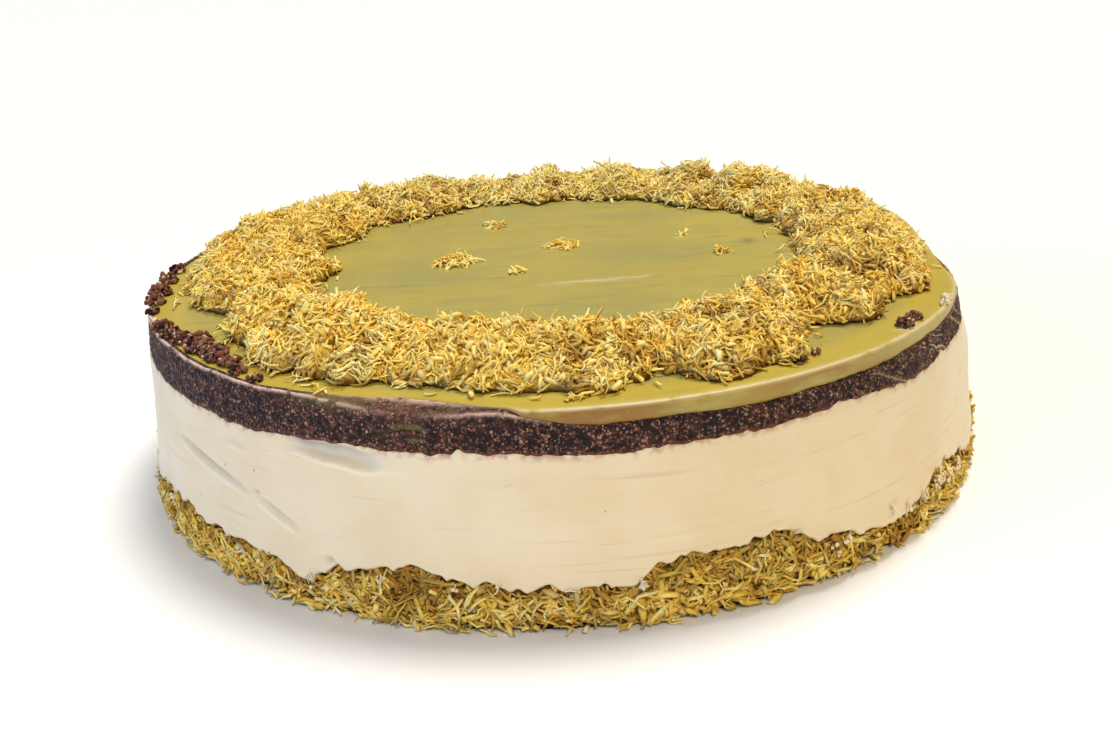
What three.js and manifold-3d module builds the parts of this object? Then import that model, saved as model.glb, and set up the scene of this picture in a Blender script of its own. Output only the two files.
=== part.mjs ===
// Kunafa cheesecake: a round cake in five stacked pieces. From the bottom they are a base of toasted
// kunafa shreds, a thick cheesecake cream, a dark chocolate crumb layer, a pistachio cream on top and
// a loose ring of kunafa shreds round its edge.
// Millimetres, +Z up. The origin is on the cake's axis, level with what it rests on; the front is -Y.

import * as THREE from 'three';
import { mergeVertices } from 'three/addons/utils/BufferGeometryUtils.js';
import Module from 'manifold-3d';

// Driving dimensions
const RIM_RADIUS = 130; // a 26 cm springform tin
const RIM_HEIGHT = 58.3; // top of the pistachio cream
const WALL_SLOPE = 0.105; // the wall widens by this much for each millimetre down
const CREAM_BOTTOM = 14.9;
const CREAM_TOP = 47.2;
const CHOCOLATE_TOP = 53.2;
const GAP = 0.3; // clearance between pieces that touch
const SEAM_GAP = 0.55; // the same where the seam wavers
const SEGMENTS = 76; // steps round the cake

// Kunafa base
const BASE_REACH = 135.4; // radius of its bulging side, without the shreds
const BASE_SHREDS = 62;
const BASE_SHRED = { thickness: 1.7, shortest: 6, longest: 10 };

// Kunafa ring
const RING_INNER = 78;
const RING_OUTER = 121;
const RING_HEIGHT = 10.5;
const RING_SHREDS = 100;
const RING_SHRED = { thickness: 1.4, shortest: 7, longest: 13 };

// The lip of chocolate that stands outside the pistachio cream
const LIP_WIDTH = 1.6;
const LIP_ROOM = 0.8; // between the lip and the pistachio cream inside it
// Where the lip is folded in over the cake and slopes down to the wall
const LIP_FOLD = { at: -107, half: 8, wider: 5.4, lower: 0.7, slope: 1.4 };

// Uneven places, each as its angle and half width in degrees and its size in millimetres
const CREAM_DRIPS = [
  { at: -162, half: 8, by: 5.5 },
  { at: -121, half: 3, by: 6 },
  { at: -94, half: 6, by: 1.5 },
  { at: -84, half: 2.4, by: 2.5 },
  { at: -50, half: 7, by: 5 },
  { at: -24, half: 9, by: 5.5 },
  { at: 32, half: 5, by: 4 },
  { at: 78, half: 7, by: 3 },
  { at: 131, half: 4, by: 5 },
];
const CREAM_NOTCHES = [
  { at: -109, half: 4, by: 2.4 },
  { at: -76, half: 5, by: 4.6 },
  { at: -68, half: 4, by: 3.2 },
  { at: -38, half: 3, by: 1.5 },
  { at: 8, half: 5, by: 2.4 },
  { at: 58, half: 4, by: 3 },
  { at: 108, half: 6, by: 2.6 },
  { at: 162, half: 5, by: 3 },
];
const RIM_SLUMPS = [{ at: -3, half: 17, by: 8 }]; // where the rim has sunk in, from SLUMP_FOOT up
const SLUMP_FOOT = 34;
const RING_OUTLINE = [
  { at: -176, half: 9, by: 3 },
  { at: -154, half: 10, by: -9.5 },
  { at: -126, half: 9, by: 2.5 },
  { at: -88, half: 9, by: 4 },
  { at: -76.5, half: 3, by: -6 },
  { at: -70, half: 5, by: 8 },
  { at: -61, half: 4, by: 6 },
  { at: -51, half: 6, by: -9 },
  { at: -35, half: 5, by: -3.5 },
  { at: -24, half: 6, by: 2 },
  { at: -3, half: 14, by: -2 },
  { at: 35, half: 18, by: 2 },
  { at: 112, half: 12, by: 2 },
  { at: 160, half: 16, by: 4.5 },
];
const RING_HOLE = [
  { at: -176, half: 9, by: -8 },
  { at: 164, half: 6, by: 4 },
  { at: 140, half: 8, by: 5 },
  { at: 108, half: 5, by: 4 },
  { at: 93, half: 4, by: -4 },
  { at: 50, half: 7, by: -4 },
  { at: -40, half: 18, by: -3 },
];
const RING_PEAKS = [
  { at: 85, half: 48, by: -4.5 },
  { at: 160, half: 22, by: 2.5 },
  { at: 121, half: 5, by: 3.5 },
  { at: 92, half: 4, by: 3 },
  { at: 73, half: 4, by: 5 },
  { at: 57, half: 4, by: 3.5 },
  { at: 43, half: 5, by: 3 },
  { at: 16, half: 5, by: 2.5 },
  { at: -20, half: 7, by: 2 },
  { at: -45, half: 6, by: 1.5 },
  { at: -78, half: 5, by: -3.5 },
  { at: -127, half: 7, by: 2.5 },
];
const WALL_DENTS = [
  { at: -116, half: 5.5, level: 45.4, tall: 2.4, deep: 1.5 },
  { at: -137, half: 6, level: 31.5, tall: 2.6, deep: 0.8 },
  { at: -125, half: 4, level: 25.5, tall: 2.4, deep: 0.8 },
];

// Loose shreds on the pistachio cream, as their place, how far they spread and how high they stand
const LOOSE_CLUMPS = [
  { x: -33, y: 0, spread: 7.5, high: 2.4, shreds: 8 },
  { x: -21, y: 47, spread: 4, high: 1.6, shreds: 4 },
  { x: 55, y: -5, spread: 2.4, high: 3, shreds: 4 },
  { x: 3, y: 14, spread: 6, high: 0.5, shreds: 3 },
  { x: 46, y: 19, spread: 2.5, high: 0.4, shreds: 1 },
  { x: -12, y: -14, spread: 3, high: 0.4, shreds: 2 },
];
// Chocolate crumbs, as their angle, radius and size
const CRUMBS_ON_LIP = [
  { at: 176, size: 2.1 },
  { at: -178, size: 2.6 },
  { at: -173, size: 1.8 },
  { at: -163, size: 1.7 },
  { at: -158, size: 2.2 },
];
const CRUMBS_ON_CREAM = [
  { at: -149, radius: 124, size: 2.6 },
  { at: -146.5, radius: 120.5, size: 2.8 },
  { at: -144, radius: 122.5, size: 3 },
  { at: -141, radius: 123, size: 2.6 },
  { at: -138.5, radius: 124.5, size: 2 },
  { at: -42, radius: 125.5, size: 2.2 },
  { at: -40.5, radius: 124, size: 1.7 },
];

const DEGREE = Math.PI / 180;
const GOLDEN_STEP = 0.618034;
const SECOND_STEP = 0.754878;

const manifold = await Module();
manifold.setup();

// Numbers -------------------------------------------------------------------------------------

function seededRandom(seed) {
  let state = seed;
  return () => {
    state = (state * 1664525 + 1013904223) % 4294967296;
    return state / 4294967296;
  };
}

function between(low, high, part) {
  return low + (high - low) * part;
}

// 1 at the angle, falling to nothing a few half widths away; angles in degrees
function bump(angle, at, half) {
  const away = ((angle - at + 540) % 360) - 180;
  return Math.exp(-((away / half) ** 2));
}

function sumOfBumps(angle, places) {
  return places.reduce((sum, place) => sum + place.by * bump(angle, place.at, place.half), 0);
}

function smoothStep(low, high, value) {
  const part = Math.min(1, Math.max(0, (value - low) / (high - low)));
  return part * part * (3 - 2 * part);
}

// A gentle waver between about -1 and 1 that closes on itself round the cake
function waver(angle, cycles, phase) {
  const turn = angle * DEGREE;
  return 0.6 * Math.sin(cycles * turn + phase) + 0.4 * Math.sin((2 * cycles + 3) * turn + 2.3 * phase);
}

function tufts(angle, across) {
  const turn = angle * DEGREE;
  return (
    0.45 * Math.sin(17 * turn + 6 * across) +
    0.4 * Math.sin(29 * turn - 10 * across + 1.3) +
    0.3 * Math.sin(11 * turn + 17 * across + 4.1) +
    0.35 * Math.sin(35 * turn + 23 * across + 2.6)
  );
}

// Closed geometry and solids ------------------------------------------------------------------

function closedGeometry(geometry) {
  const plain = geometry.clone();
  plain.deleteAttribute('normal');
  plain.deleteAttribute('uv');
  const merged = mergeVertices(plain, 1e-4);
  const corners = merged.index.array;
  const kept = [];
  for (let i = 0; i < corners.length; i += 3) {
    const [a, b, c] = [corners[i], corners[i + 1], corners[i + 2]];
    if (a !== b && b !== c && c !== a) {
      kept.push(a, b, c);
    }
  }
  merged.setIndex(kept);
  return merged;
}

function toSolid(geometry) {
  const closed = closedGeometry(geometry);
  const mesh = new manifold.Mesh({
    numProp: 3,
    vertProperties: new Float32Array(closed.attributes.position.array),
    triVerts: new Uint32Array(closed.index.array),
  });
  return new manifold.Manifold(mesh);
}

function toGeometry(solid) {
  const mesh = solid.getMesh();
  const geometry = new THREE.BufferGeometry();
  geometry.setAttribute('position', new THREE.BufferAttribute(new Float32Array(mesh.vertProperties), 3));
  geometry.setIndex(new THREE.BufferAttribute(new Uint32Array(mesh.triVerts), 1));
  return geometry;
}

function joined(solids) {
  return solids.reduce((sum, solid) => sum.add(solid));
}

// The one main body of a solid, without any scrap that a cut left loose
function mainBody(solid) {
  return solid.decompose().reduce((best, piece) => (piece.volume() > best.volume() ? piece : best));
}

// A turned solid whose section changes with the angle. sectionAt gives the [radius, height] points of
// the section at an angle, anticlockwise, from axis to axis or closing on themselves.
function turnedSolid(sectionAt) {
  const start = sectionAt(-90).map(([radius, height]) => new THREE.Vector2(radius, height));
  const geometry = new THREE.LatheGeometry(start, SEGMENTS);
  const position = geometry.attributes.position;
  for (let step = 0; step <= SEGMENTS; step += 1) {
    const angle = ((step % SEGMENTS) / SEGMENTS) * 360 - 90;
    sectionAt(angle).forEach(([radius, height], row) => {
      const x = radius * Math.cos(angle * DEGREE);
      const y = radius * Math.sin(angle * DEGREE);
      position.setXYZ(step * start.length + row, x, y, height);
    });
  }
  return toSolid(geometry);
}

// A bent three-sided shred from one point over a second to a third
function shred(from, over, to, thickness) {
  const section = new THREE.Shape();
  for (let corner = 0; corner < 3; corner += 1) {
    const turn = (corner * 2 * Math.PI) / 3;
    const point = [0.58 * thickness * Math.cos(turn), 0.58 * thickness * Math.sin(turn)];
    if (corner === 0) {
      section.moveTo(...point);
    } else {
      section.lineTo(...point);
    }
  }
  const path = new THREE.QuadraticBezierCurve3(from, over, to);
  return toSolid(new THREE.ExtrudeGeometry(section, { steps: 2, bevelEnabled: false, extrudePath: path }));
}

// A rough crumb, wider than it is high
function crumb(x, y, height, size, random, narrow = 1) {
  const geometry = new THREE.SphereGeometry(1, 6, 4);
  geometry.scale(size * between(1, 1.3, random()), size * narrow, size * between(0.7, 0.9, random()));
  geometry.rotateZ(Math.atan2(y, x) + Math.PI / 2);
  geometry.translate(x, y, height);
  return toSolid(geometry);
}

function onCircle(radius, angle, height) {
  return new THREE.Vector3(radius * Math.cos(angle * DEGREE), radius * Math.sin(angle * DEGREE), height);
}

// Lines between the layers, as heights round the wall -----------------------------------------

function wallRadius(height, angle) {
  const slump = sumOfBumps(angle, RIM_SLUMPS) * smoothStep(SLUMP_FOOT, RIM_HEIGHT, height);
  return RIM_RADIUS + WALL_SLOPE * (RIM_HEIGHT - height) - slump;
}

function rimRadius(angle) {
  return wallRadius(RIM_HEIGHT, angle);
}

function creamFoot(angle) {
  const level = 13.6 + 0.7 * waver(angle, 9, 0.4);
  return level + sumOfBumps(angle, CREAM_NOTCHES) - sumOfBumps(angle, CREAM_DRIPS);
}

function creamSeat(angle) {
  return Math.max(CREAM_BOTTOM, creamFoot(angle) + GAP);
}

function creamEdge(angle) {
  return CREAM_TOP + 0.8 * waver(angle, 7, 2.2) - 1.4 * bump(angle, -46, 9);
}

// How much of the rim the chocolate lip takes: all of it at the left, and little at the right
function lipShare(angle) {
  const fromLeft = Math.abs(((angle - 166 + 540) % 360) - 180);
  const left = 1 - smoothStep(94, 108, fromLeft);
  return Math.max(left, 0.8 * bump(angle, -14, 16));
}

function lipFold(angle) {
  return bump(angle, LIP_FOLD.at, LIP_FOLD.half);
}

function lipWidth(angle) {
  return LIP_WIDTH + LIP_FOLD.wider * lipFold(angle);
}

function lipTop(angle) {
  const low = CHOCOLATE_TOP + 0.4 + 0.5 * waver(angle, 8, 1.1);
  const high = RIM_HEIGHT + 0.3 + 0.3 * waver(angle, 12, 0.7) - LIP_FOLD.lower * lipFold(angle);
  return between(low, high, lipShare(angle));
}

// The five pieces -----------------------------------------------------------------------------

// The cheesecake cream, grown by a margin so that it can also cut its room in the kunafa base
function creamSolid(margin) {
  const inside = BASE_REACH - 3;
  return turnedSolid((angle) => {
    const foot = creamFoot(angle) - margin;
    const edge = creamEdge(angle);
    const seat = creamSeat(angle) - margin;
    const wall = [0.03, 0.25, 0.5, 0.74, 0.92, 1].map((part) => {
      const height = between(foot, edge, part);
      const dent = WALL_DENTS.reduce((sum, place) => {
        const near = Math.exp(-(((height - place.level) / place.tall) ** 2));
        return sum + place.deep * near * bump(angle, place.at, place.half);
      }, 0);
      const swell = 0.35 * waver(angle, 5, 3 * part);
      return [wallRadius(height, angle) + swell - dent + margin, height];
    });
    return [
      [0, CREAM_BOTTOM - margin],
      [inside - 9, CREAM_BOTTOM - margin],
      [inside - 0.4 - margin, seat],
      [inside - margin, Math.min(seat, foot + 0.3)],
      [wallRadius(foot, angle) - 1 + margin, foot - 0.2],
      ...wall,
      [inside - 12, CREAM_TOP + margin],
      [0, CREAM_TOP + margin],
    ];
  });
}

function kunafaBase(random) {
  const core = turnedSolid((angle) => {
    const top = creamSeat(angle) - SEAM_GAP - 0.05;
    const side = (height) => BASE_REACH + tufts(angle, height / 12);
    return [
      [0, 0],
      [side(0) - 1.2, 0],
      [side(3), 3],
      [side(8) - 0.3, 0.55 * top],
      [side(12) - 1.6, 0.86 * top],
      [BASE_REACH - 3.6, top],
      [BASE_REACH - 12, CREAM_BOTTOM - SEAM_GAP - 0.05],
      [0, CREAM_BOTTOM - SEAM_GAP - 0.05],
    ];
  });
  const shreds = [];
  for (let i = 0; i < BASE_SHREDS; i += 1) {
    const angle = 360 * ((i * GOLDEN_STEP) % 1);
    const top = creamFoot(angle) - 1;
    const level = i % 3 === 0 ? 1.1 : between(2, top, (i * SECOND_STEP) % 1);
    const length = between(BASE_SHRED.shortest, BASE_SHRED.longest, random());
    const lean = i % 3 === 0 ? between(-0.9, 0.9, random()) : between(-1.5, 1.5, random());
    const along = (0.5 * length * Math.sin(lean)) / (BASE_REACH * DEGREE);
    const rise = i % 3 === 0 ? 0 : between(-0.4, 0.4, random()) * length * Math.cos(lean);
    const out = i % 3 === 0 ? 0.45 * length * Math.cos(lean) : between(0.4, 1.8, random());
    const lowest = 0.62 * BASE_SHRED.thickness;
    const from = onCircle(BASE_REACH - 2, angle - along, Math.max(lowest, level - rise));
    const over = onCircle(BASE_REACH + 0.8, angle, Math.max(lowest, level + 0.4));
    const to = onCircle(BASE_REACH + out, angle + along, Math.max(lowest, level + rise));
    shreds.push(shred(from, over, to, BASE_SHRED.thickness));
  }
  return mainBody(joined([core, ...shreds]).subtract(creamSolid(SEAM_GAP)));
}

function chocolateLayer(random) {
  const body = turnedSolid((angle) => {
    const foot = creamEdge(angle) + SEAM_GAP;
    const top = lipTop(angle);
    const side = top - LIP_FOLD.slope * lipFold(angle);
    const inner = rimRadius(angle) - lipWidth(angle);
    const rough = 0.25 * tufts(angle, 0.3);
    return [
      [0, CREAM_TOP + SEAM_GAP],
      [BASE_REACH - 15, CREAM_TOP + SEAM_GAP],
      [wallRadius(foot, angle) - 0.2, foot + 0.05],
      [wallRadius(foot, angle) + 0.3 + rough, foot + 0.9],
      [wallRadius(52, angle) + 0.1 - rough, between(foot, side, 0.55)],
      [wallRadius(side, angle), side - 0.4],
      [wallRadius(side, angle) - 0.5 * LIP_WIDTH, side],
      [inner, top - 0.3],
      [inner - 0.4, CHOCOLATE_TOP],
      [0, CHOCOLATE_TOP],
    ];
  });
  const crumbs = CRUMBS_ON_LIP.map(({ at, size }) => {
    const place = onCircle(rimRadius(at) - 0.75, at, lipTop(at) + 0.3 * size);
    return crumb(place.x, place.y, place.z, size, random, 0.7 / size);
  });
  return joined([body, ...crumbs]);
}

function looseShreds({ x, y, spread, high, shreds }, random) {
  const pieces = [];
  for (let i = 0; i < shreds; i += 1) {
    const heading = Math.PI * ((i * GOLDEN_STEP) % 1) * 2 + 1;
    const reach = spread * Math.sqrt((i + 0.5) / shreds) * 0.6;
    const middle = new THREE.Vector2(x + reach * Math.cos(heading), y + 0.7 * reach * Math.sin(heading));
    const half = 0.5 * between(5, 8, random());
    const turn = heading + between(0.6, 2.4, random());
    const [dx, dy] = [half * Math.cos(turn), half * Math.sin(turn)];
    const from = new THREE.Vector3(middle.x - dx, middle.y - dy, RIM_HEIGHT - 0.1);
    const over = new THREE.Vector3(middle.x, middle.y, RIM_HEIGHT + 0.5 + 1.2 * high * random());
    const to = new THREE.Vector3(middle.x + dx, middle.y + dy, RIM_HEIGHT + high * random());
    pieces.push(shred(from, over, to, RING_SHRED.thickness));
  }
  return pieces;
}

function pistachioCream(random) {
  const body = turnedSolid((angle) => {
    const lip = lipTop(angle);
    const inner = rimRadius(angle) - lipWidth(angle) - LIP_ROOM;
    const reach = lip > RIM_HEIGHT - 2.2 ? inner : rimRadius(angle);
    const foot = Math.min(lip + GAP, RIM_HEIGHT - 0.5);
    return [
      [0, CHOCOLATE_TOP + GAP],
      [inner, CHOCOLATE_TOP + GAP],
      [inner, foot],
      [reach + 0.02, foot + 0.05],
      [reach - 0.15, RIM_HEIGHT - 0.25],
      [reach - 1.6, RIM_HEIGHT],
      [0, RIM_HEIGHT],
    ];
  });
  const shreds = LOOSE_CLUMPS.flatMap((clump) => looseShreds(clump, random));
  const crumbs = CRUMBS_ON_CREAM.map(({ at, radius, size }) => {
    const place = onCircle(radius, at, RIM_HEIGHT + 0.3 * size);
    return crumb(place.x, place.y, place.z, size, random);
  });
  return mainBody(joined([body, ...shreds, ...crumbs]));
}

// The bare surface of the kunafa ring; across runs from 0 at its inner foot to 1 at its outer foot
function ringSurface(angle, across) {
  const inner = RING_INNER + 2 + sumOfBumps(angle, RING_HOLE);
  const outer = RING_OUTER - 2 + 0.8 * waver(angle, 11, 0.9) + sumOfBumps(angle, RING_OUTLINE);
  const crest = RING_HEIGHT - 2 + sumOfBumps(angle, RING_PEAKS) + 0.8 * waver(angle, 9, 1.7);
  const shape = Math.sin(Math.PI * across) ** 0.6;
  const lump = 1.6 * tufts(angle, across) * shape;
  const height = RIM_HEIGHT + GAP + Math.max(0, crest * shape + lump);
  return onCircle(between(inner, outer, across), angle, height);
}

function kunafaRing(random) {
  const floor = RIM_HEIGHT + GAP;
  const core = turnedSolid((angle) => {
    const top = [1, 0.93, 0.8, 0.64, 0.47, 0.3, 0.16, 0.06, 0].map((across) => {
      const point = ringSurface(angle, across);
      return [Math.hypot(point.x, point.y), across % 1 === 0 ? floor : Math.max(point.z, floor + 0.8)];
    });
    return [top[top.length - 1], ...top];
  });
  const shreds = [];
  for (let i = 0; i < RING_SHREDS; i += 1) {
    const angle = 360 * ((i * GOLDEN_STEP) % 1);
    const across = between(0.04, 0.97, (i * SECOND_STEP) % 1);
    const place = ringSurface(angle, across);
    const sideways = ringSurface(angle + 1, across).sub(place).normalize();
    const outwards = ringSurface(angle, across + 0.03).sub(place).normalize();
    const up = new THREE.Vector3().crossVectors(outwards, sideways).normalize();
    const heading = 2 * Math.PI * random();
    const half = 0.5 * between(RING_SHRED.shortest, RING_SHRED.longest, random());
    const along = sideways.multiplyScalar(Math.cos(heading)).addScaledVector(outwards, Math.sin(heading));
    const lift = between(0.3, 3.2, random() ** 2);
    const from = place.clone().addScaledVector(along, -half).addScaledVector(up, -0.9);
    const over = place.clone().addScaledVector(up, 1.3);
    const to = place.clone().addScaledVector(along, half).addScaledVector(up, lift);
    for (const point of [from, over, to]) {
      point.z = Math.max(point.z, floor + 0.6 * RING_SHRED.thickness);
    }
    shreds.push(shred(from, over, to, RING_SHRED.thickness));
  }
  return mainBody(joined([core, ...shreds]));
}

// The cake ------------------------------------------------------------------------------------

function layer(name, solid, color, roughness) {
  const mesh = new THREE.Mesh(toGeometry(solid), new THREE.MeshStandardMaterial({ color, roughness }));
  mesh.name = name;
  return mesh;
}

const cake = new THREE.Group();
cake.name = 'kunafa_cheesecake';
cake.add(
  layer('kunafa_base', kunafaBase(seededRandom(11)), 0xc19a44, 0.75),
  layer('cheesecake_cream', creamSolid(0), 0xebd9b4, 0.42),
  layer('chocolate_layer', chocolateLayer(seededRandom(23)), 0x3c2622, 0.8),
  layer('pistachio_cream', pistachioCream(seededRandom(37)), 0xb5a95c, 0.35),
  layer('kunafa_ring', kunafaRing(seededRandom(53)), 0xd9b35f, 0.75),
);

export default cake;
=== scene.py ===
"""The looks of a kunafa cheesecake: a round cake of toasted kunafa shreds, cream, chocolate crumb and
pistachio cream, with a ring of loose shreds on top. Laid out as an add-on and run as a script.
Lengths are in millimetres until a mesh is written; then they are in metres."""

import math
import random

import bpy
import numpy as np
from bpy.props import FloatProperty, FloatVectorProperty, IntProperty, PointerProperty
from mathutils import Matrix, Vector


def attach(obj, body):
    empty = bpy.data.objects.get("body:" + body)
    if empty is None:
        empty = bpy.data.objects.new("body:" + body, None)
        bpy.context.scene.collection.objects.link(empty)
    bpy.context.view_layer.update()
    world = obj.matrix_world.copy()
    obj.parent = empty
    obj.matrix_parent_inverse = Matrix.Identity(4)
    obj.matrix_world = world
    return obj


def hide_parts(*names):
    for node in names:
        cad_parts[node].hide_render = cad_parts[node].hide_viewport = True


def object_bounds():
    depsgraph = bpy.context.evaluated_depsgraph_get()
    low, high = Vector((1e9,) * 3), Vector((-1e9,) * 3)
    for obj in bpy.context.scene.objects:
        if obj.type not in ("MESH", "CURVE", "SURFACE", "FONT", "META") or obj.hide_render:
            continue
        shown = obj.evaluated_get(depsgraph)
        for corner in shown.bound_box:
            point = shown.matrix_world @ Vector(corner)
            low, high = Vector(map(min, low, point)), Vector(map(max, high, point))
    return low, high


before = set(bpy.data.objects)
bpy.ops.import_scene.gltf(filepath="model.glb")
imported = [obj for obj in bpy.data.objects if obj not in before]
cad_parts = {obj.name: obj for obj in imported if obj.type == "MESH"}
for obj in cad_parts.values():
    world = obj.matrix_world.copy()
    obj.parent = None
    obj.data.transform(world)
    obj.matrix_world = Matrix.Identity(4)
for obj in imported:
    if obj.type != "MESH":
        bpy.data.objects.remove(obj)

bl_info = {
    "name": "Kunafa Cheesecake",
    "version": (1, 0, 0),
    "blender": (4, 5, 0),
    "location": "View3D > Sidebar > Cake",
    "description": "Builds a round kunafa cheesecake piece by piece round its packed solids",
    "category": "Object",
}

CAD_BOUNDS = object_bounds()
BODY = "root"
MM = 0.001

# Sizes that the solids also have, in millimetres -----------------------------------------------

RIM_RADIUS = 130.0
RIM_HEIGHT = 58.3
WALL_SLOPE = 0.105
CREAM_BOTTOM = 14.9
CREAM_TOP = 47.2
CHOCOLATE_TOP = 53.2
BASE_REACH = 135.4
RING_INNER = 78.0
RING_OUTER = 121.0
RING_HEIGHT = 10.5
LIP_WIDTH = 1.6
# Where the lip is folded in over the cake and slopes down to the wall: angle, half width, and sizes
FOLD_AT, FOLD_HALF, FOLD_WIDER, FOLD_LOWER, FOLD_SLOPE = -107.0, 8.0, 5.4, 0.7, 1.4
SLUMP_FOOT = 34.0

# Uneven places: (angle, half width, size), angles in degrees from +X, the front at -90
CREAM_DRIPS = [
    (-162, 8, 5.5), (-121, 3, 6), (-94, 6, 1.5), (-84, 2.4, 2.5), (-50, 7, 5), (-24, 9, 5.5),
    (32, 5, 4), (78, 7, 3), (131, 4, 5),
]
CREAM_NOTCHES = [
    (-109, 4, 2.4), (-76, 5, 4.6), (-68, 4, 3.2), (-38, 3, 1.5), (8, 5, 2.4), (58, 4, 3),
    (108, 6, 2.6), (162, 5, 3),
]
RIM_SLUMPS = [(-3, 17, 8)]
RING_OUTLINE = [
    (-176, 9, 3), (-154, 10, -9.5), (-126, 9, 2.5), (-88, 9, 4), (-76.5, 3, -6), (-70, 5, 8),
    (-61, 4, 6), (-51, 6, -9), (-35, 5, -3.5), (-24, 6, 2), (-3, 14, -2), (35, 18, 2), (112, 12, 2),
    (160, 16, 4.5),
]
RING_HOLE = [
    (-176, 9, -8), (164, 6, 4), (140, 8, 5), (108, 5, 4), (93, 4, -4), (50, 7, -4), (-40, 18, -3),
]
RING_PEAKS = [
    (85, 48, -4.5), (160, 22, 2.5), (121, 5, 3.5), (92, 4, 3), (73, 4, 5), (57, 4, 3.5), (43, 5, 3),
    (16, 5, 2.5), (-20, 7, 2), (-45, 6, 1.5), (-78, 5, -3.5), (-127, 7, 2.5),
]
CREAM_TONGUES = [(-101, 1.3, 1.7), (-133, 0.5, 0.6), (-79, 0.8, 0.9), (-58, 0.9, 1.0), (-36, 1.0, 1.4)]
# Knife nicks in the cream's side: from (angle, height), to (angle, height), how deep
WALL_NICKS = [
    ((-144, 35), (-129, 28.5), 1.3), ((-128, 28.5), (-121, 22), 1.1), ((-133, 41.5), (-129, 40.8), 0.5),
]
# A scoop out of the cream's side: angle, half width, level, how tall, how deep
WALL_DENTS = [(-116, 5.2, 44.9, 2.2, 2.2)]
# (x, y, spread, how high the shreds stand)
LOOSE_CLUMPS = [
    (-33, 0, 7.5, 2.4), (-21, 47, 4, 1.6), (55, -5, 2.4, 3), (3, 14, 6, 0.5), (46, 19, 2.5, 0.4),
    (-12, -14, 3, 0.4),
]
# Pale streaks on the pistachio cream: from (x, y), to (x, y), how wide, how strong
PALE_STREAKS = [((-4, -31), (29, -27), 1.5, 0.85), ((91, -89), (96, -84), 1.8, 1.0)]
# A bruise on it: x, y and half its size along both
DARK_SPOT = (66, 8, 2.2, 3.0)
# Small holes in the cream: (angle, level, half width in degrees, half height, how deep)
CREAM_HOLES = [
    (-65.1, 17.6, 1.3, 0.7, 1.3), (-117.1, 15.6, 0.7, 0.8, 1.2), (-127.6, 29.2, 0.5, 0.5, 0.9),
    (-139, 21, 0.3, 0.4, 0.5), (-96, 40, 0.3, 0.4, 0.5),
]
# Dabs of cream on the shreds: (angle, height, how wide, how tall)
CREAM_DABS = [
    (-60.2, 10.8, 3, 1.6), (-58.2, 11.4, 3, 1.4), (-59.6, 8.6, 1.2, 2.4), (-50.5, 13.5, 3, 1.6),
    (-47, 11.5, 2, 3), (-44, 12, 2, 3.5), (-40, 12.4, 4, 3.4), (-37, 11.5, 4, 3), (-34, 11, 4, 3),
    (-89.7, 12.6, 3, 0.8), (-89.4, 8.2, 1, 1), (-79.3, 3, 3, 0.8), (-110.5, 13.8, 4, 1.2),
    (-102.2, 12.9, 1.2, 1.2), (-97.5, 14.4, 1.4, 1.2), (-92.9, 12.4, 1.2, 1.4), (-119.5, 9, 1.8, 3.4),
    (-82.7, 13, 1.2, 2.4), (-131, 11, 3, 1.4), (-148, 12, 3, 2), (-153, 9, 2.4, 1.4), (-69, 15, 1.5, 0.8),
    (20, 12, 4, 2), (75, 12, 4, 1.6), (140, 12, 4, 2),
]
# Dabs of cream on the rim: (angle, radius, how wide, how high)
RIM_DABS = [(-159, 129.0, 2.4, 1.0), (-33, 129.0, 3, 1.0), (-31, 128.2, 2.2, 0.8)]
# Heaps of chocolate crumb on the lip and inside it: (angle, radius, how wide, how high)
CRUMB_HEAPS = [
    (177, 128.2, 4.5, 1.8), (-178, 127.8, 5, 2.2), (-172, 127.6, 6, 2.8), (-167.5, 128.2, 5, 2.2),
    (-163, 128.8, 3, 1.2), (-155, 128.0, 5, 1.8), (-151, 126.5, 5, 1.8), (-148, 125.0, 6, 2.2),
    (-145.5, 122.5, 7.5, 2.4), (-143, 123.5, 8, 2.6), (-140.5, 122.5, 7, 2.2), (-138.5, 124.0, 6, 1.8),
    (-135.5, 123.5, 5, 1.4), (-132, 126.0, 4, 0.9), (-128, 127.2, 3.6, 0.7), (-43, 126.5, 4.5, 1.0),
    (-40, 126, 4, 0.8), (-58, 122, 2, 0.6), (-61, 124, 2.4, 0.5),
]

# Numbers, on whole arrays at once ---------------------------------------------------------------

def between(low, high, part):
    return low + (high - low) * part


def fade(away, half, power=2):
    """1 where away is nothing, falling to nothing a few halves from there."""
    return np.exp(-((away / half) ** power))


def bump(angle, at, half):
    """1 at an angle, falling to nothing a few half widths away."""
    away = (angle - at + 540.0) % 360.0 - 180.0
    return fade(away, half)


def sum_of_bumps(angle, places):
    return sum(size * bump(angle, at, half) for at, half, size in places)


def smooth_step(low, high, value):
    part = np.clip((value - low) / (high - low), 0.0, 1.0)
    return part * part * (3.0 - 2.0 * part)


def waver(angle, cycles, phase):
    """A gentle waver between about -1 and 1 that closes on itself round the cake."""
    turn = np.radians(angle)
    return 0.6 * np.sin(cycles * turn + phase) + 0.4 * np.sin((2 * cycles + 3) * turn + 2.3 * phase)


def tufts(angle, across):
    turn = np.radians(angle)
    return (
        0.45 * np.sin(17 * turn + 6 * across) + 0.4 * np.sin(29 * turn - 10 * across + 1.3)
        + 0.3 * np.sin(11 * turn + 17 * across + 4.1) + 0.35 * np.sin(35 * turn + 23 * across + 2.6)
    )


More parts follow.
